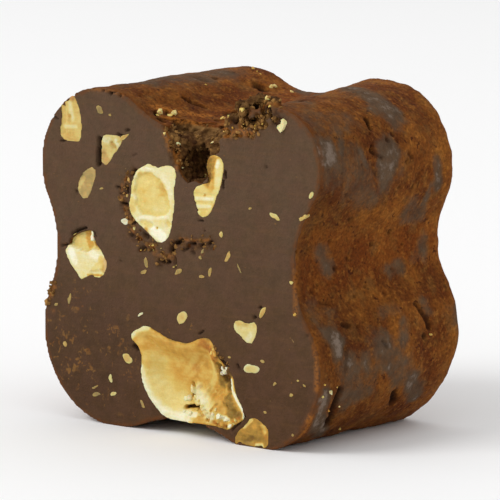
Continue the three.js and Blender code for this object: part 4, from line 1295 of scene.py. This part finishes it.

# %% [markdown]
# ## Patches rubbed bare
# Where the sweet lay against its neighbours the cocoa is rubbed or soaked into the chocolate, and the
# skin is grey-brown and smooth. These places are painted as a share, so that the material can give
# them their own colour and their uneven edge. The other sides get random patches.

# %% Paint the rubbed patches
# Strengths near 1 or above reach the pale bloom in the material, which is partly a painted highlight.
RUBBED = [  # reach, strength, and where the eye sees the corners on the cut plane
    (1.1, 0.9, (13.4, 22.6), (14.4, 22.3), (15.3, 21.7), (16.1, 21.3)),
    (0.6, 0.7, (9.4, 22.2), (10.6, 22.1)), (1.1, 0.5, (10.3, 20.6), (11.5, 20.5), (12.7, 20.6)),
    (0.5, 0.6, (12.8, 20.9), (12.7, 20.3)), (0.6, 1.0, (10.5, 19.2), (11.4, 19.0), (11.4, 18.6)),
    (0.4, 0.7, (12.3, 19.3), (12.3, 18.7)),
    (1.5, 0.55, (11.3, 17.8), (12.5, 17.5), (13.8, 17.3), (14.2, 16.5)),
    (0.6, 0.5, (13.2, 19.2), (13.8, 18.6)),
    (0.9, 0.95, (15.6, 19.2), (16.2, 18.8), (15.8, 18.0), (15.5, 17.4)), (0.5, 0.5, (16.6, 17.9)),
    (0.7, 0.7, (17.6, 16.0), (17.2, 15.4), (18.2, 15.6)), (0.45, 0.8, (19.3, 18.7), (19.4, 17.4)),
    (0.3, 0.8, (18.9, 17.4), (18.4, 16.2)), (0.7, 0.75, (10.9, 12.5), (11.2, 12.1), (11.3, 11.7)),
    (0.6, 0.6, (18.3, 13.9), (18.4, 13.2)), (0.5, 0.5, (17.7, 12.9)),
    (0.6, 0.6, (15.9, 12.0), (16.6, 12.3)), (0.65, 1.0, (11.5, 7.7), (12.1, 7.2), (12.2, 6.5)),
    (1.1, 0.35, (10.3, 9.0), (11.3, 8.8), (11.0, 8.2)),
    (0.7, 1.3, (10.6, 18.9), (11.1, 18.3), (11.4, 18.4)), (0.3, 1.0, (13.8, 18.9), (14.2, 18.2)),
    (0.35, 1.0, (15.2, 18.4), (15.5, 18.2)), (0.3, 1.0, (15.4, 17.2)),
    (0.35, 1.0, (15.1, 22.0), (15.6, 21.7)), (0.25, 0.9, (12.4, 19.2), (12.3, 18.7)),
    (1.2, 0.7, (13.0, 5.9), (13.4, 4.9), (13.2, 4.2)), (1.3, 0.75, (15.3, 7.1), (16.2, 6.7), (16.9, 6.0)),
    (0.6, 0.7, (17.0, 8.8), (17.0, 7.6)), (0.8, 0.9, (17.6, 5.6), (17.9, 4.7)),
    (0.8, 0.6, (14.1, 6.6), (14.6, 5.0)), (0.6, 0.5, (15.5, 9.4), (16.2, 9.6)),
    (0.7, 0.95, (11.1, 3.9), (10.9, 3.1), (10.7, 2.0), (10.6, 1.4)),
    (1.6, 0.68, (-3.8, 22.0), (-1.2, 22.5), (1.5, 22.8), (3.0, 23.1)),
    (0.9, 0.6, (-7.5, 21.65), (-6.0, 21.8)), (0.6, 0.4, (0.2, 22.2), (1.7, 22.3)),
    (0.5, 0.5, (18.4, 10.4), (18.8, 9.8)), (1.0, 0.4, (8.8, 21.6), (9.6, 21.2)),
]
HIDDEN_PATCHES = 34


def random_patches(count):
    patches = []
    while len(patches) < count:
        spot, out, _, far = whole_tree.find_nearest(random_place(2))
        if far < 1.5 and out.x < 0.3 and out.z < 0.8 and out.y > -0.5:
            end = spot + Vector(draw.uniform(-1.5, 1.5, 3).tolist())
            patches.append((draw.uniform(0.5, 1.5), draw.uniform(0.5, 0.95), tuple(spot), tuple(end)))
    return patches


rows = places(body)
uneven = noise_at(rows, 0.9, 3.0) + 0.5 * noise_at(rows, 2.6, 8.0)
rubbed = np.zeros(len(rows))
for radius, strength, *corners in aim(skin, RUBBED) + random_patches(HIDDEN_PATCHES):
    far = line_distance(rows, corners) / radius + 0.4 * uneven
    rubbed = np.maximum(rubbed, strength * step(1.5, 0.4, far))
paint(body, "rubbed", rubbed)
print(f"rubbed share of the skin: {rubbed.mean():.2f}")

# %% [markdown]
# ## Shader groups that several materials share
# Three effects come back in more than one material: soft patches, fine grain and sparse flecks. Each
# is a node group with named inputs, so a material only says how large and how strong it wants it. The
# groups read Object coordinates, turned into millimetres, so a pattern never stretches.
#
# Joining nodes by hand in the editor is easy to see but hard to repeat. A few helpers do it here, so
# that one line of code is one node or one small chain of nodes.

# %% Helpers that add and join nodes
def rgb(red, green, blue):
    """A colour written in ordinary 0 to 255 steps, as the linear values that a shader works with."""
    steps = [value / 255 for value in (red, green, blue)]
    return (*[s / 12.92 if s <= 0.04045 else ((s + 0.055) / 1.055) ** 2.4 for s in steps], 1.0)


def plug(tree, socket, value):
    if isinstance(value, bpy.types.NodeSocket):
        tree.links.new(value, socket)
    else:
        socket.default_value = value


def add_node(tree, kind, values=(), **settings):
    """Adds a shader node with its settings; values are its inputs in order, and None leaves one alone."""
    made = tree.nodes.new("ShaderNode" + kind)
    for name, setting in settings.items():
        setattr(made, name, setting)
    for socket, value in zip(made.inputs, values):
        if value is not None:
            plug(tree, socket, value)
    return made


def number(tree, operation, *values):
    return add_node(tree, "Math", values, operation=operation).outputs[0]


def swing(tree, value, strength):
    """Turns a value round a half into one round zero, times a strength."""
    return number(tree, "MULTIPLY", number(tree, "SUBTRACT", value, 0.5), strength)


def remap(tree, value, low, high):
    """0 where the value is low, 1 where it is high, and a smooth rise between them."""
    made = add_node(tree, "MapRange", (value, low, high, 0.0, 1.0), interpolation_type="SMOOTHSTEP")
    return made.outputs[0]


def new_group(name, inputs, outputs):
    """A node group; an input is a kind, a title and a default, and an output is a kind and a title."""
    tree = bpy.data.node_groups.new(name, "ShaderNodeTree")
    for kind, title, default in inputs:
        socket = tree.interface.new_socket(title, in_out="INPUT", socket_type="NodeSocket" + kind)
        if default is not None:
            socket.default_value = default
    for kind, title in outputs:
        tree.interface.new_socket(title, in_out="OUTPUT", socket_type="NodeSocket" + kind)
    return tree, tree.nodes.new("NodeGroupInput").outputs, tree.nodes.new("NodeGroupOutput").inputs


print("cocoa brown as a shader sees it:", [round(value, 3) for value in rgb(126, 76, 26)])

# %% [markdown]
# ## Soft patches
# Chocolate, cocoa and nut are all mottled: paler and darker patches fade into each other. The group
# makes a mask from cloudy noise, with a size, a threshold that says how much is covered, and a softness.

# %% Build the patches group
patches, given, result = new_group(
    "soft patches",
    [("Vector", "Place", None), ("Float", "Size", 1.0), ("Float", "Threshold", 0.5),
     ("Float", "Softness", 0.1)],
    [("Float", "Mask")],
)
per_mm = number(patches, "DIVIDE", 1.0, given["Size"])
cloud = add_node(patches, "TexNoise", (given["Place"], None, per_mm, 3.0, 0.6))
low = number(patches, "SUBTRACT", given["Threshold"], given["Softness"])
high = number(patches, "ADD", given["Threshold"], given["Softness"])
plug(patches, result["Mask"], remap(patches, cloud.outputs[0], low, high))
print("soft patches:", len(patches.nodes), "nodes")

# %% [markdown]
# ## Fine grain
# Powder, broken chocolate and cut nut have a grain too fine to model. Noise mixed with small cells
# gives both a value round a half, for the colour, and a height, for a bump.

# %% Build the grain group
grain, given, result = new_group(
    "fine grain",
    [("Vector", "Place", None), ("Float", "Size", 0.1), ("Float", "Contrast", 1.0)],
    [("Float", "Value"), ("Float", "Height")],
)
per_mm = number(grain, "DIVIDE", 1.0, given["Size"])
coarse = add_node(grain, "TexNoise", (given["Place"], None, per_mm, 2.0, 0.65)).outputs[0]
cells = add_node(grain, "TexVoronoi", (given["Place"], None, per_mm)).outputs[0]
coarse, cells = number(grain, "MULTIPLY", coarse, 0.75), number(grain, "MULTIPLY", cells, 0.3)
mixed = number(grain, "ADD", coarse, cells)
contrasted = number(grain, "ADD", swing(grain, mixed, given["Contrast"]), 0.5)
plug(grain, result["Value"], contrasted)
plug(grain, result["Height"], mixed)
print("fine grain:", len(grain.nodes), "nodes")

# %% [markdown]
# ## Flecks
# Specks of cocoa, crumbs of nut and tiny pits are small separate spots. Each cell of a Voronoi texture
# holds at most one: a random colour of the cell picks which cells have a fleck, and the distance from
# the cell's point draws it. The places are stirred by noise first, so that no fleck is quite round.

# %% Build the flecks group
flecks, given, result = new_group(
    "flecks",
    [("Vector", "Place", None), ("Float", "Spacing", 1.0), ("Float", "Radius", 0.1),
     ("Float", "Share", 0.5)],
    [("Float", "Mask")],
)
per_mm = number(flecks, "DIVIDE", 1.0, given["Spacing"])
stir = add_node(flecks, "TexNoise", (given["Place"], None, 2.5, 1.0, 0.5)).outputs[1]
stirred = add_node(flecks, "VectorMath", (given["Place"], stir), operation="ADD").outputs[0]
cell = add_node(flecks, "TexVoronoi", (stirred, None, per_mm))
size = number(flecks, "MULTIPLY", given["Radius"], per_mm)
spot = remap(flecks, cell.outputs["Distance"], size, number(flecks, "MULTIPLY", size, 0.55))
pick_some = add_node(flecks, "SeparateColor", (cell.outputs["Color"],)).outputs[0]
chosen = number(flecks, "LESS_THAN", pick_some, given["Share"])
plug(flecks, result["Mask"], number(flecks, "MULTIPLY", spot, chosen))
print("flecks:", len(flecks.nodes), "nodes")

# %% [markdown]
# ## Where cocoa stays and where it wears off
# Powder is rubbed off the crests of the lobes and stays in the grooves between them. A point lies in a
# groove when it is outside the circles of all four lobes, so that distance is painted too. The cut
# breaks the powder off in a thin line along its edge, which needs the distance from the outline.

# %% Paint the grooves and the edge of the cut
GROOVE_REACH = 0.7
EDGE_WIDTH = 0.34


def from_lobes(rows):
    """How far each row is outside the nearest lobe, in the section that it lies in."""
    along = np.clip((rows[:, 1] - CUT_Y) / (END_Y - CUT_Y), 0, 1)
    point = rows[:, 0] + 1j * rows[:, 2]
    nearest = np.full(len(rows), np.inf)
    for (ax, az, ar), (bx, bz, br) in zip(CUT_LOBES, END_LOBES):
        middle = complex(ax, az) * (1 - along) + complex(bx, bz) * along
        nearest = np.minimum(nearest, np.abs(point - middle) - ar * (1 - along) - br * along)
    return nearest


def from_edge(rows):
    """How far each row is from the outline of the cut, seen along the bar."""
    flat = np.stack([rows[:, 0], np.full(len(rows), CUT_Y), rows[:, 2]], axis=1)
    return line_distance(flat, [(p.real, CUT_Y, p.imag) for p in cut_outline + cut_outline[:1]])


groove = step(0.02, GROOVE_REACH, from_lobes(rows)) * step(0.0, 1.0, rows[:, 1] - CUT_Y)
edge = np.zeros(len(rows))
ahead = rows[:, 1] < CUT_Y + 0.5
edge[ahead] = step(EDGE_WIDTH, 0.1, from_edge(rows[ahead]) * (1 + 0.5 * uneven[ahead]))
paint(body, "groove", groove)
paint(body, "edge", edge)
print(f"groove share {groove.mean():.2f}, edge share {edge.mean():.3f}")

# %% [markdown]
# ## The chocolate
# One mesh carries three finishes, and the painted shares say where each is. The cut face is smooth,
# brown-grey and a little glossy. The mantle is matt and orange-brown, because cocoa powder lies on it.
# Broken chocolate is dark and grainy. Three materials would meet in hard edges, triangle by triangle.
# So each finish is built as a colour of its own in one material, and the shares then mix them.

# %% Helpers for a material with a Principled shader
def new_material(name, **sockets):
    """A material and its shader; what is the same all over is set on the shader's own sockets."""
    made = bpy.data.materials.new(name)
    made.use_nodes = True
    shader = made.node_tree.nodes["Principled BSDF"]
    for title, value in sockets.items():
        shader.inputs[title.replace("_", " ")].default_value = value
    return made, made.node_tree, shader


def in_millimetres(tree):
    """Object coordinates in millimetres."""
    place = add_node(tree, "TexCoord").outputs["Object"]
    return add_node(tree, "VectorMath", (place, (1000, 1000, 1000)), operation="MULTIPLY").outputs[0]


def drawn_out(tree, place, angle, squeeze):
    """Places turned in the cut face and squeezed each way, which draws a noise out into streaks."""
    return add_node(tree, "Mapping", (place, (0, 0, 0), (0, angle, 0), squeeze)).outputs[0]


def painted(tree, name):
    """A share that was painted on the vertices."""
    return add_node(tree, "Attribute", attribute_name=name).outputs["Fac"]


def place_group(tree, group, *values):
    """Puts a shared group into a material, with its own values."""
    made = tree.nodes.new("ShaderNodeGroup")
    made.node_tree = group
    for socket, value in zip(made.inputs, values):
        plug(tree, socket, value)
    return made.outputs


def mask(tree, group, place, *values):
    """The mask of the patches group (size, threshold, softness) or of the flecks group."""
    return place_group(tree, group, place, *values)["Mask"]


def blend_colours(tree, share, first, second, how="MIX"):
    made = add_node(tree, "Mix", data_type="RGBA", blend_type=how)
    for socket, value in zip((made.inputs[0], made.inputs[6], made.inputs[7]), (share, first, second)):
        plug(tree, socket, value)
    return made.outputs[2]


def tint(tree, colour, share, strength, second):
    """Lays a second colour over a first one, by a share of the surface times a strength."""
    return blend_colours(tree, number(tree, "MULTIPLY", share, strength), colour, second)


def shade_by(tree, colour, value, low, high):
    """Darkens and lightens a colour by a value from 0 to 1."""
    factor = add_node(tree, "MapRange", (value, 0.0, 1.0, low, high)).outputs[0]
    return blend_colours(tree, 1.0, colour, factor, "MULTIPLY")


def add_bump(tree, shader, height, distance):
    made = add_node(tree, "Bump", (1.0, distance))
    plug(tree, made.inputs["Height"], height)
    plug(tree, shader.inputs["Normal"], made.outputs[0])


chocolate, tree, shader = new_material("cut and dusted chocolate", Specular_IOR_Level=0.1)
place = in_millimetres(tree)
print("chocolate starts with", [node.name for node in tree.nodes])

# %% [markdown]
# ## The cut face
# Soft chocolate that a knife has cut is never one flat brown: it is mottled at several sizes, and drawn
# out a little along the way of the knife. Its colour is also painted darker towards the bottom and greyer
# towards the top, which is painted shade. A picture could hold that, but would blur from near. Noise in
# layers stays sharp at any distance, so each layer shades or tints the last.

# %% Colour the cut face
STREAK_ANGLE = math.radians(38)
LOW_Z, HIGH_Z = 1.0, 17.0
turned = drawn_out(tree, place, STREAK_ANGLE, (0.35, 3.0, 5.0))
streaks = add_node(tree, "TexNoise", (turned, None, 1.0, 3.0, 0.6)).outputs[0]
fine = place_group(tree, grain, place, 0.14, 1.0)
broad = mask(tree, patches, place, 3.0, 0.5, 0.2)
mottle = mask(tree, patches, place, 0.8, 0.5, 0.2)

# Painted shade: the cut face is darker towards the bottom and greyer towards the top.
height = remap(tree, add_node(tree, "SeparateXYZ", (place,)).outputs[2], LOW_Z, HIGH_Z)
cut_colour = blend_colours(tree, height, rgb(75, 51, 31), rgb(86, 66, 48))
cut_colour = tint(tree, cut_colour, broad, 0.3, rgb(84, 60, 34))
small_mottle = mask(tree, patches, place, 0.35, 0.5, 0.2)
cut_colour = shade_by(tree, cut_colour, mottle, 0.93, 1.06)
cut_colour = shade_by(tree, cut_colour, small_mottle, 0.93, 1.06)
cut_colour = shade_by(tree, cut_colour, streaks, 0.95, 1.05)
ruddy = mask(tree, patches, place, 1.4, 0.5, 0.12)
cut_colour = tint(tree, cut_colour, ruddy, 0.3, rgb(91, 62, 48))
cut_colour = shade_by(tree, cut_colour, fine["Value"], 0.82, 1.18)
smears = mask(tree, patches, turned, 1.0, 0.6, 0.06)
cut_colour = tint(tree, cut_colour, smears, 0.12, rgb(104, 72, 40))
print("cut face:", len(tree.nodes), "nodes so far")

# %% [markdown]
# ## Flecks in the cut face
# The knife carried specks of cocoa over the face, most of them at the lower left, and a few specks are
# dust of nut. As pieces they would be thousands of tiny meshes. They are flat, so flecks of colour do,
# and the distance from a middle says where they are thick.

# %% Colour the flecks
FLECKED_MIDDLE = (-8.2, CUT_Y, 4.6)
FLECKED_RADIUS = 6.5
far = add_node(tree, "VectorMath", (place, FLECKED_MIDDLE), operation="DISTANCE").outputs["Value"]
flecked = remap(tree, far, FLECKED_RADIUS, 0.3 * FLECKED_RADIUS)
clusters = number(tree, "MULTIPLY", mask(tree, patches, place, 1.1, 0.52, 0.08), flecked)
cut_colour = shade_by(tree, cut_colour, flecked, 1.0, 0.88)
few = mask(tree, flecks, place, 0.6, 0.1, 0.14)
many = mask(tree, flecks, place, 0.45, 0.18, 0.65)
large = mask(tree, flecks, place, 0.85, 0.34, 0.55)
many = number(tree, "MULTIPLY", number(tree, "MAXIMUM", many, large), clusters)
few, many = number(tree, "MULTIPLY", few, 0.45), number(tree, "MULTIPLY", many, 0.6)
cocoa_flecks = number(tree, "MAXIMUM", few, many)
fleck_colour = blend_colours(tree, mottle, rgb(122, 74, 30), rgb(146, 106, 52))
cut_colour = blend_colours(tree, cocoa_flecks, cut_colour, fleck_colour)
pale = mask(tree, flecks, place, 1.5, 0.1, 0.3)
cut_colour = tint(tree, cut_colour, pale, 0.55, rgb(168, 138, 88))
print("with flecks:", len(tree.nodes), "nodes so far")

# %% [markdown]
# ## The dusted mantle
# Cocoa powder is orange-brown, thicker in the grooves and in patches, with golden grains, and dark flecks
# paint the shade of tiny pits between the lumps. Particles would be far too many. Tints at four sizes and
# a strong grain give the look of powder, and the far end is a little lighter, because more powder stayed
# there.

# %% Colour the dusted mantle
powder = place_group(tree, grain, place, 0.2, 1.8)
clouds = mask(tree, patches, place, 2.4, 0.5, 0.14)
small_clouds = mask(tree, patches, place, 0.6, 0.5, 0.14)
groove_share = painted(tree, "groove")
dusted = blend_colours(tree, clouds, rgb(82, 42, 12), rgb(126, 76, 26))
dusted = tint(tree, dusted, small_clouds, 0.6, rgb(80, 36, 9))
dusted = tint(tree, dusted, groove_share, 0.5, rgb(100, 48, 10))
olive = mask(tree, patches, place, 1.1, 0.58, 0.1)
dusted = tint(tree, dusted, olive, 0.32, rgb(112, 78, 34))
gold = mask(tree, patches, place, 0.35, 0.6, 0.08)
dusted = tint(tree, dusted, gold, 0.35, rgb(148, 96, 38))
# Painted shade: dark flecks for the tiny pits between the lumps of powder.
pit_shade = mask(tree, flecks, place, 0.7, 0.17, 0.4)
dusted = tint(tree, dusted, pit_shade, 0.75, rgb(52, 20, 6))
dusted = shade_by(tree, dusted, powder["Value"], 0.5, 1.5)
far_share = remap(tree, add_node(tree, "SeparateXYZ", (place,)).outputs[1], CUT_Y + 1, CUT_Y + 11)
dusted = shade_by(tree, dusted, far_share, 0.93, 1.2)
print("with the mantle:", len(tree.nodes), "nodes so far")

# %% [markdown]
# ## The rubbed skin
# In the rubbed patches the chocolate itself shows, grey-brown, with a pale bloom in the middle, which
# is partly a painted highlight on the smooth skin. The painted share fades evenly, which looks sprayed.
# Noise is added to it first, so that the edge frays.

# %% Colour the rubbed skin and the dents
fray = add_node(tree, "TexNoise", (place, None, 0.9, 6.0, 0.65)).outputs[0]
fray = swing(tree, fray, 1.5)
bare_share = remap(tree, number(tree, "ADD", painted(tree, "rubbed"), fray), 0.05, 1.0)
frayed_more = number(tree, "ADD", painted(tree, "rubbed"), number(tree, "MULTIPLY", fray, 1.5))
# Pale bloom, partly a painted highlight on the strongest rubbed patches.
bloom_and_highlight = remap(tree, frayed_more, 0.9, 1.25)
bare = shade_by(tree, rgb(84, 67, 51), mottle, 0.8, 1.2)
bare = blend_colours(tree, bloom_and_highlight, bare, rgb(122, 106, 93))
bare = shade_by(tree, bare, fine["Value"], 0.8, 1.2)
mantle_colour = tint(tree, dusted, bare_share, 0.95, bare)
dent_shade_share = painted(tree, "dent_shade")
# Painted shade: the mantle is darkened where it is dented.
mantle_colour = tint(tree, mantle_colour, dent_shade_share, 0.75, rgb(40, 20, 8))
print("with the rubbed skin:", len(tree.nodes), "nodes so far")

# %% [markdown]
# ## Broken chocolate
# Where it broke, the chocolate is painted in dark and lighter patches, as painted shade between clods and
# painted light on them, and the walls of the hollow are painted paler still, as painted light. The
# roughness is real shape already, so two browns and the grain are enough.

# %% Colour the broken chocolate
# Painted shade and light: patches of dark and of lighter brown.
clod_shade_and_light = mask(tree, patches, place, 0.5, 0.5, 0.14)
broken_colour = blend_colours(tree, clod_shade_and_light, rgb(54, 29, 10), rgb(92, 62, 30))
# Painted light: the aimed wall strokes get a paler brown here.
wall_light = blend_colours(tree, clod_shade_and_light, rgb(100, 70, 36), rgb(136, 102, 60))
broken_colour = blend_colours(tree, painted(tree, "pale"), broken_colour, wall_light)
broken_colour = shade_by(tree, broken_colour, powder["Value"], 0.7, 1.3)
print("with broken chocolate:", len(tree.nodes), "nodes so far")

# %% [markdown]
# ## Mixing the three
# The face goes over the mantle with a slightly ragged edge, then comes the line of cocoa that the knife
# broke off along the rim, the broken places, loose cocoa and the painted shade of the dents. The cut face
# is the only part that shines a little, so roughness and bump follow its share too.

# %% Mix the three by their painted shares
RELIEF = 0.06 * MM
face_share = painted(tree, "face")
broken_share = painted(tree, "broken")
ragged = number(tree, "ADD", face_share, swing(tree, small_clouds, 0.3))
colour = blend_colours(tree, remap(tree, ragged, 0.4, 0.6), mantle_colour, cut_colour)
edge_share = painted(tree, "edge")
uneven_share = number(tree, "ADD", 0.2, number(tree, "MULTIPLY", small_clouds, 0.5))
colour = tint(tree, colour, edge_share, uneven_share, rgb(104, 58, 20))
colour = blend_colours(tree, broken_share, colour, broken_colour)
cocoa_share = number(tree, "MULTIPLY", painted(tree, "cocoa"), remap(tree, powder["Value"], 0.2, 0.7))
colour = blend_colours(tree, cocoa_share, colour, rgb(166, 102, 38))
# Painted shade: dents and the gaps beside the nuts are darkened.
colour = tint(tree, colour, dent_shade_share, 0.7, rgb(30, 14, 5))
plug(tree, shader.inputs["Base Color"], colour)

matt = add_node(tree, "Mix", (face_share, None, 0.9, 0.6)).outputs[0]
plug(tree, shader.inputs["Roughness"], matt)
powder_height = add_node(tree, "Mix", (face_share, None, powder["Height"], fine["Height"])).outputs[0]
relief = number(tree, "ADD", powder_height, number(tree, "MULTIPLY", streaks, 0.35))
add_bump(tree, shader, relief, RELIEF)
print("chocolate:", len(tree.nodes), "nodes")

# %% [markdown]
# ## The nut
# The painted tone picks the colour of the nut from a ramp, from olive brown to cream, and the painted
# skin adds the orange-brown husk. Nut is a little translucent, so some of the light goes below the
# surface. Faint lines run through it, which are noise drawn out in one direction.

# %% The nut material
# The dark end of the ramp also serves as painted shade in the cracks and pits of the nut.
NUT_RAMP = [
    (0.0, (44, 24, 10)), (0.2, (98, 66, 22)), (0.35, (146, 114, 48)), (0.5, (200, 151, 64)),
    (0.62, (212, 182, 98)), (0.75, (220, 201, 128)), (0.87, (222, 212, 162)), (1.0, (238, 233, 206)),
]
LINE_ANGLE = math.radians(-62)
NUT_RELIEF = 0.02 * MM
nut_finish, tree, shader = new_material(
    "cut hazelnut", Specular_IOR_Level=0.15, Subsurface_Weight=0.18, Subsurface_Scale=0.6 * MM
)
place = in_millimetres(tree)
lines = drawn_out(tree, place, LINE_ANGLE, (0.8, 2.0, 5.0))
lines = add_node(tree, "TexNoise", (lines, None, 1.0, 2.0, 0.6)).outputs[0]
fine = place_group(tree, grain, place, 0.1, 1.0)
mottle = mask(tree, patches, place, 0.7, 0.5, 0.2)

shift = number(tree, "ADD", swing(tree, lines, 0.15), swing(tree, mottle, 0.07))
tone = number(tree, "ADD", painted(tree, "tone"), shift)
ramp = add_node(tree, "ValToRGB", (tone,))
elements = ramp.color_ramp.elements
elements[0].position, elements[1].position = NUT_RAMP[0][0], NUT_RAMP[-1][0]
for position, _ in NUT_RAMP[1:-1]:
    elements.new(position)
for element, (_, sample) in zip(elements, NUT_RAMP):
    element.color = rgb(*sample)
nut_colour = shade_by(tree, ramp.outputs[0], fine["Value"], 0.88, 1.12)
husk = blend_colours(tree, mottle, rgb(140, 76, 22), rgb(196, 124, 44))
husk_share = number(tree, "MULTIPLY", painted(tree, "husk"), remap(tree, fine["Value"], 0.2, 0.5))
nut_colour = blend_colours(tree, husk_share, nut_colour, husk)
greyer = shade_by(tree, rgb(172, 163, 118), mottle, 0.8, 1.1)
nut_colour = blend_colours(tree, painted(tree, "muted"), nut_colour, greyer)
plug(tree, shader.inputs["Base Color"], nut_colour)
nut_roughness = add_node(tree, "MapRange", (mottle, 0.0, 1.0, 0.45, 0.6)).outputs[0]
plug(tree, shader.inputs["Roughness"], nut_roughness)
relief = number(tree, "ADD", fine["Height"], number(tree, "MULTIPLY", lines, 0.8))
add_bump(tree, shader, relief, NUT_RELIEF)
print("nut:", len(tree.nodes), "nodes")

# %% [markdown]
# ## The crumbs' finish
# A crumb of chocolate is dark where it is dense and golden where cocoa sticks to it. Each crumb carries
# its own tone, drawn at random, so one material serves them all. It is matt, with a coarse grain.

# %% The material of the crumbs
CRUMB_RELIEF = 0.04 * MM
crumb_finish, tree, shader = new_material("broken chocolate", Specular_IOR_Level=0.1, Roughness=0.8)
place = in_millimetres(tree)
fine = place_group(tree, grain, place, 0.12, 1.5)
crumb_colour = blend_colours(tree, painted(tree, "tone"), rgb(54, 30, 12), rgb(158, 116, 62))
plug(tree, shader.inputs["Base Color"], shade_by(tree, crumb_colour, fine["Value"], 0.7, 1.3))
add_bump(tree, shader, fine["Height"], CRUMB_RELIEF)
print("crumbs:", len(tree.nodes), "nodes")

# %% [markdown]
# ## Back to real size
# The pieces were modelled in millimetres. Scaling them by a thousandth and applying that scale puts
# every object at the origin, unturned and unscaled, with its place in its mesh. Crumbs keep their flat
# faces, because broken chocolate has corners, and everything else is shaded smooth.

# %% Scale, smooth and dress the pieces
HAIR = 0.0005  # keeps rounding from putting a corner outside
finishes = {body: chocolate, chocolate_crumbs: crumb_finish, nut_bits: nut_finish, nut_crumbs: nut_finish}
finishes.update({nut: nut_finish for nut in nuts.values()})
lowest, highest = [np.array(corner) / MM for corner in solid_box]
for piece, finish in finishes.items():
    place_all(piece, np.clip(places(piece), lowest + HAIR, highest - HAIR))
    piece.scale = (MM, MM, MM)
    pick(piece)
    bpy.ops.object.transform_apply(location=True, rotation=True, scale=True)
    if piece in (chocolate_crumbs, nut_crumbs):
        bpy.ops.object.shade_flat()
    else:
        bpy.ops.object.shade_smooth()
    piece.data.materials.clear()
    piece.data.materials.append(finish)
print("triangles in all:", sum(triangles(piece) for piece in finishes))

# %% [markdown]
# ## One body for all the pieces
# Nothing on the sweet moves, so every piece rides on the one body. The large pieces, the bits and the
# crumbs replace their solids, so that the plain solids are hidden but still collide.

# %% Tie the pieces to the solid model
for piece in (body, nut_bits, chocolate_crumbs, nut_crumbs):
    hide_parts("chocolate")
for node, nut in nuts.items():
    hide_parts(node)
for piece, finish in finishes.items():
    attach(piece, "root")
print("pieces tied:", len(finishes))

# %% [markdown]
# ## The floor
# A pale floor catches the shadow that shows how the sweet stands. It is a plane so large that its edge
# lies out of sight.

# %% Lay the floor
FLOOR_SIZE = 6.0
pick()
bpy.ops.mesh.primitive_plane_add(size=FLOOR_SIZE)
floor = bpy.context.object
floor.name = "floor"
floor_finish, tree, shader = new_material("pale floor", Base_Color=(0.95, 0.95, 0.95, 1.0), Roughness=0.9)
floor.data.materials.append(floor_finish)
print(f"floor: {FLOOR_SIZE:.0f} m wide")

# %% [markdown]
# ## The light
# The room gives soft light from all round, and one large lamp at the upper left in front adds the
# gentle shine and the shadow. A small lamp would make hard shadows between the crumbs.

# %% Light the room and hang the lamp
ROOM_LIGHT = 0.8
LAMP_PLACE = (-0.45, -0.7, 0.75)
LAMP_SIZE = 0.5
LAMP_POWER = 5.0
world = bpy.data.worlds.new("soft room")
bpy.context.scene.world = world
world.use_nodes = True
world.node_tree.nodes["Background"].inputs["Color"].default_value = (1.0, 1.0, 1.0, 1.0)
world.node_tree.nodes["Background"].inputs["Strength"].default_value = ROOM_LIGHT


def facing(place, target):
    """The turn of a lamp or camera at a place that looks at the target."""
    return (Vector(target) - Vector(place)).to_track_quat("-Z", "Y").to_euler()


pick()
lamp_turn = facing(LAMP_PLACE, (0, 0, MIDDLE_Z * MM))
bpy.ops.object.light_add(type="AREA", location=LAMP_PLACE, rotation=lamp_turn)
lamp = bpy.context.object
lamp.data.size = LAMP_SIZE
lamp.data.energy = LAMP_POWER
print("lamp:", LAMP_POWER, "W at", LAMP_PLACE)

# %% [markdown]
# ## The camera
# From near, a small thing looks bent, with its front too large. The camera stands far away with a long
# lens, so that edges that are parallel look almost parallel. It stands where the marks were aimed from.

# %% Set up the camera
CAMERA_PLACE = EYE * MM
CAMERA_AIM = (0.0, -0.0002, 0.01106)
LENS = 237.2
SENSOR_WIDTH = 36.0
NEAREST = 0.005
pick()
bpy.ops.object.camera_add(location=CAMERA_PLACE, rotation=facing(CAMERA_PLACE, CAMERA_AIM))
camera = bpy.context.object
camera.data.lens = LENS
camera.data.sensor_width = SENSOR_WIDTH
camera.data.clip_start = NEAREST
bpy.context.scene.camera = camera
bpy.context.scene.view_settings.view_transform = "Standard"
print(f"camera: {CAMERA_PLACE.length:.2f} m away, {LENS:.0f} mm lens")
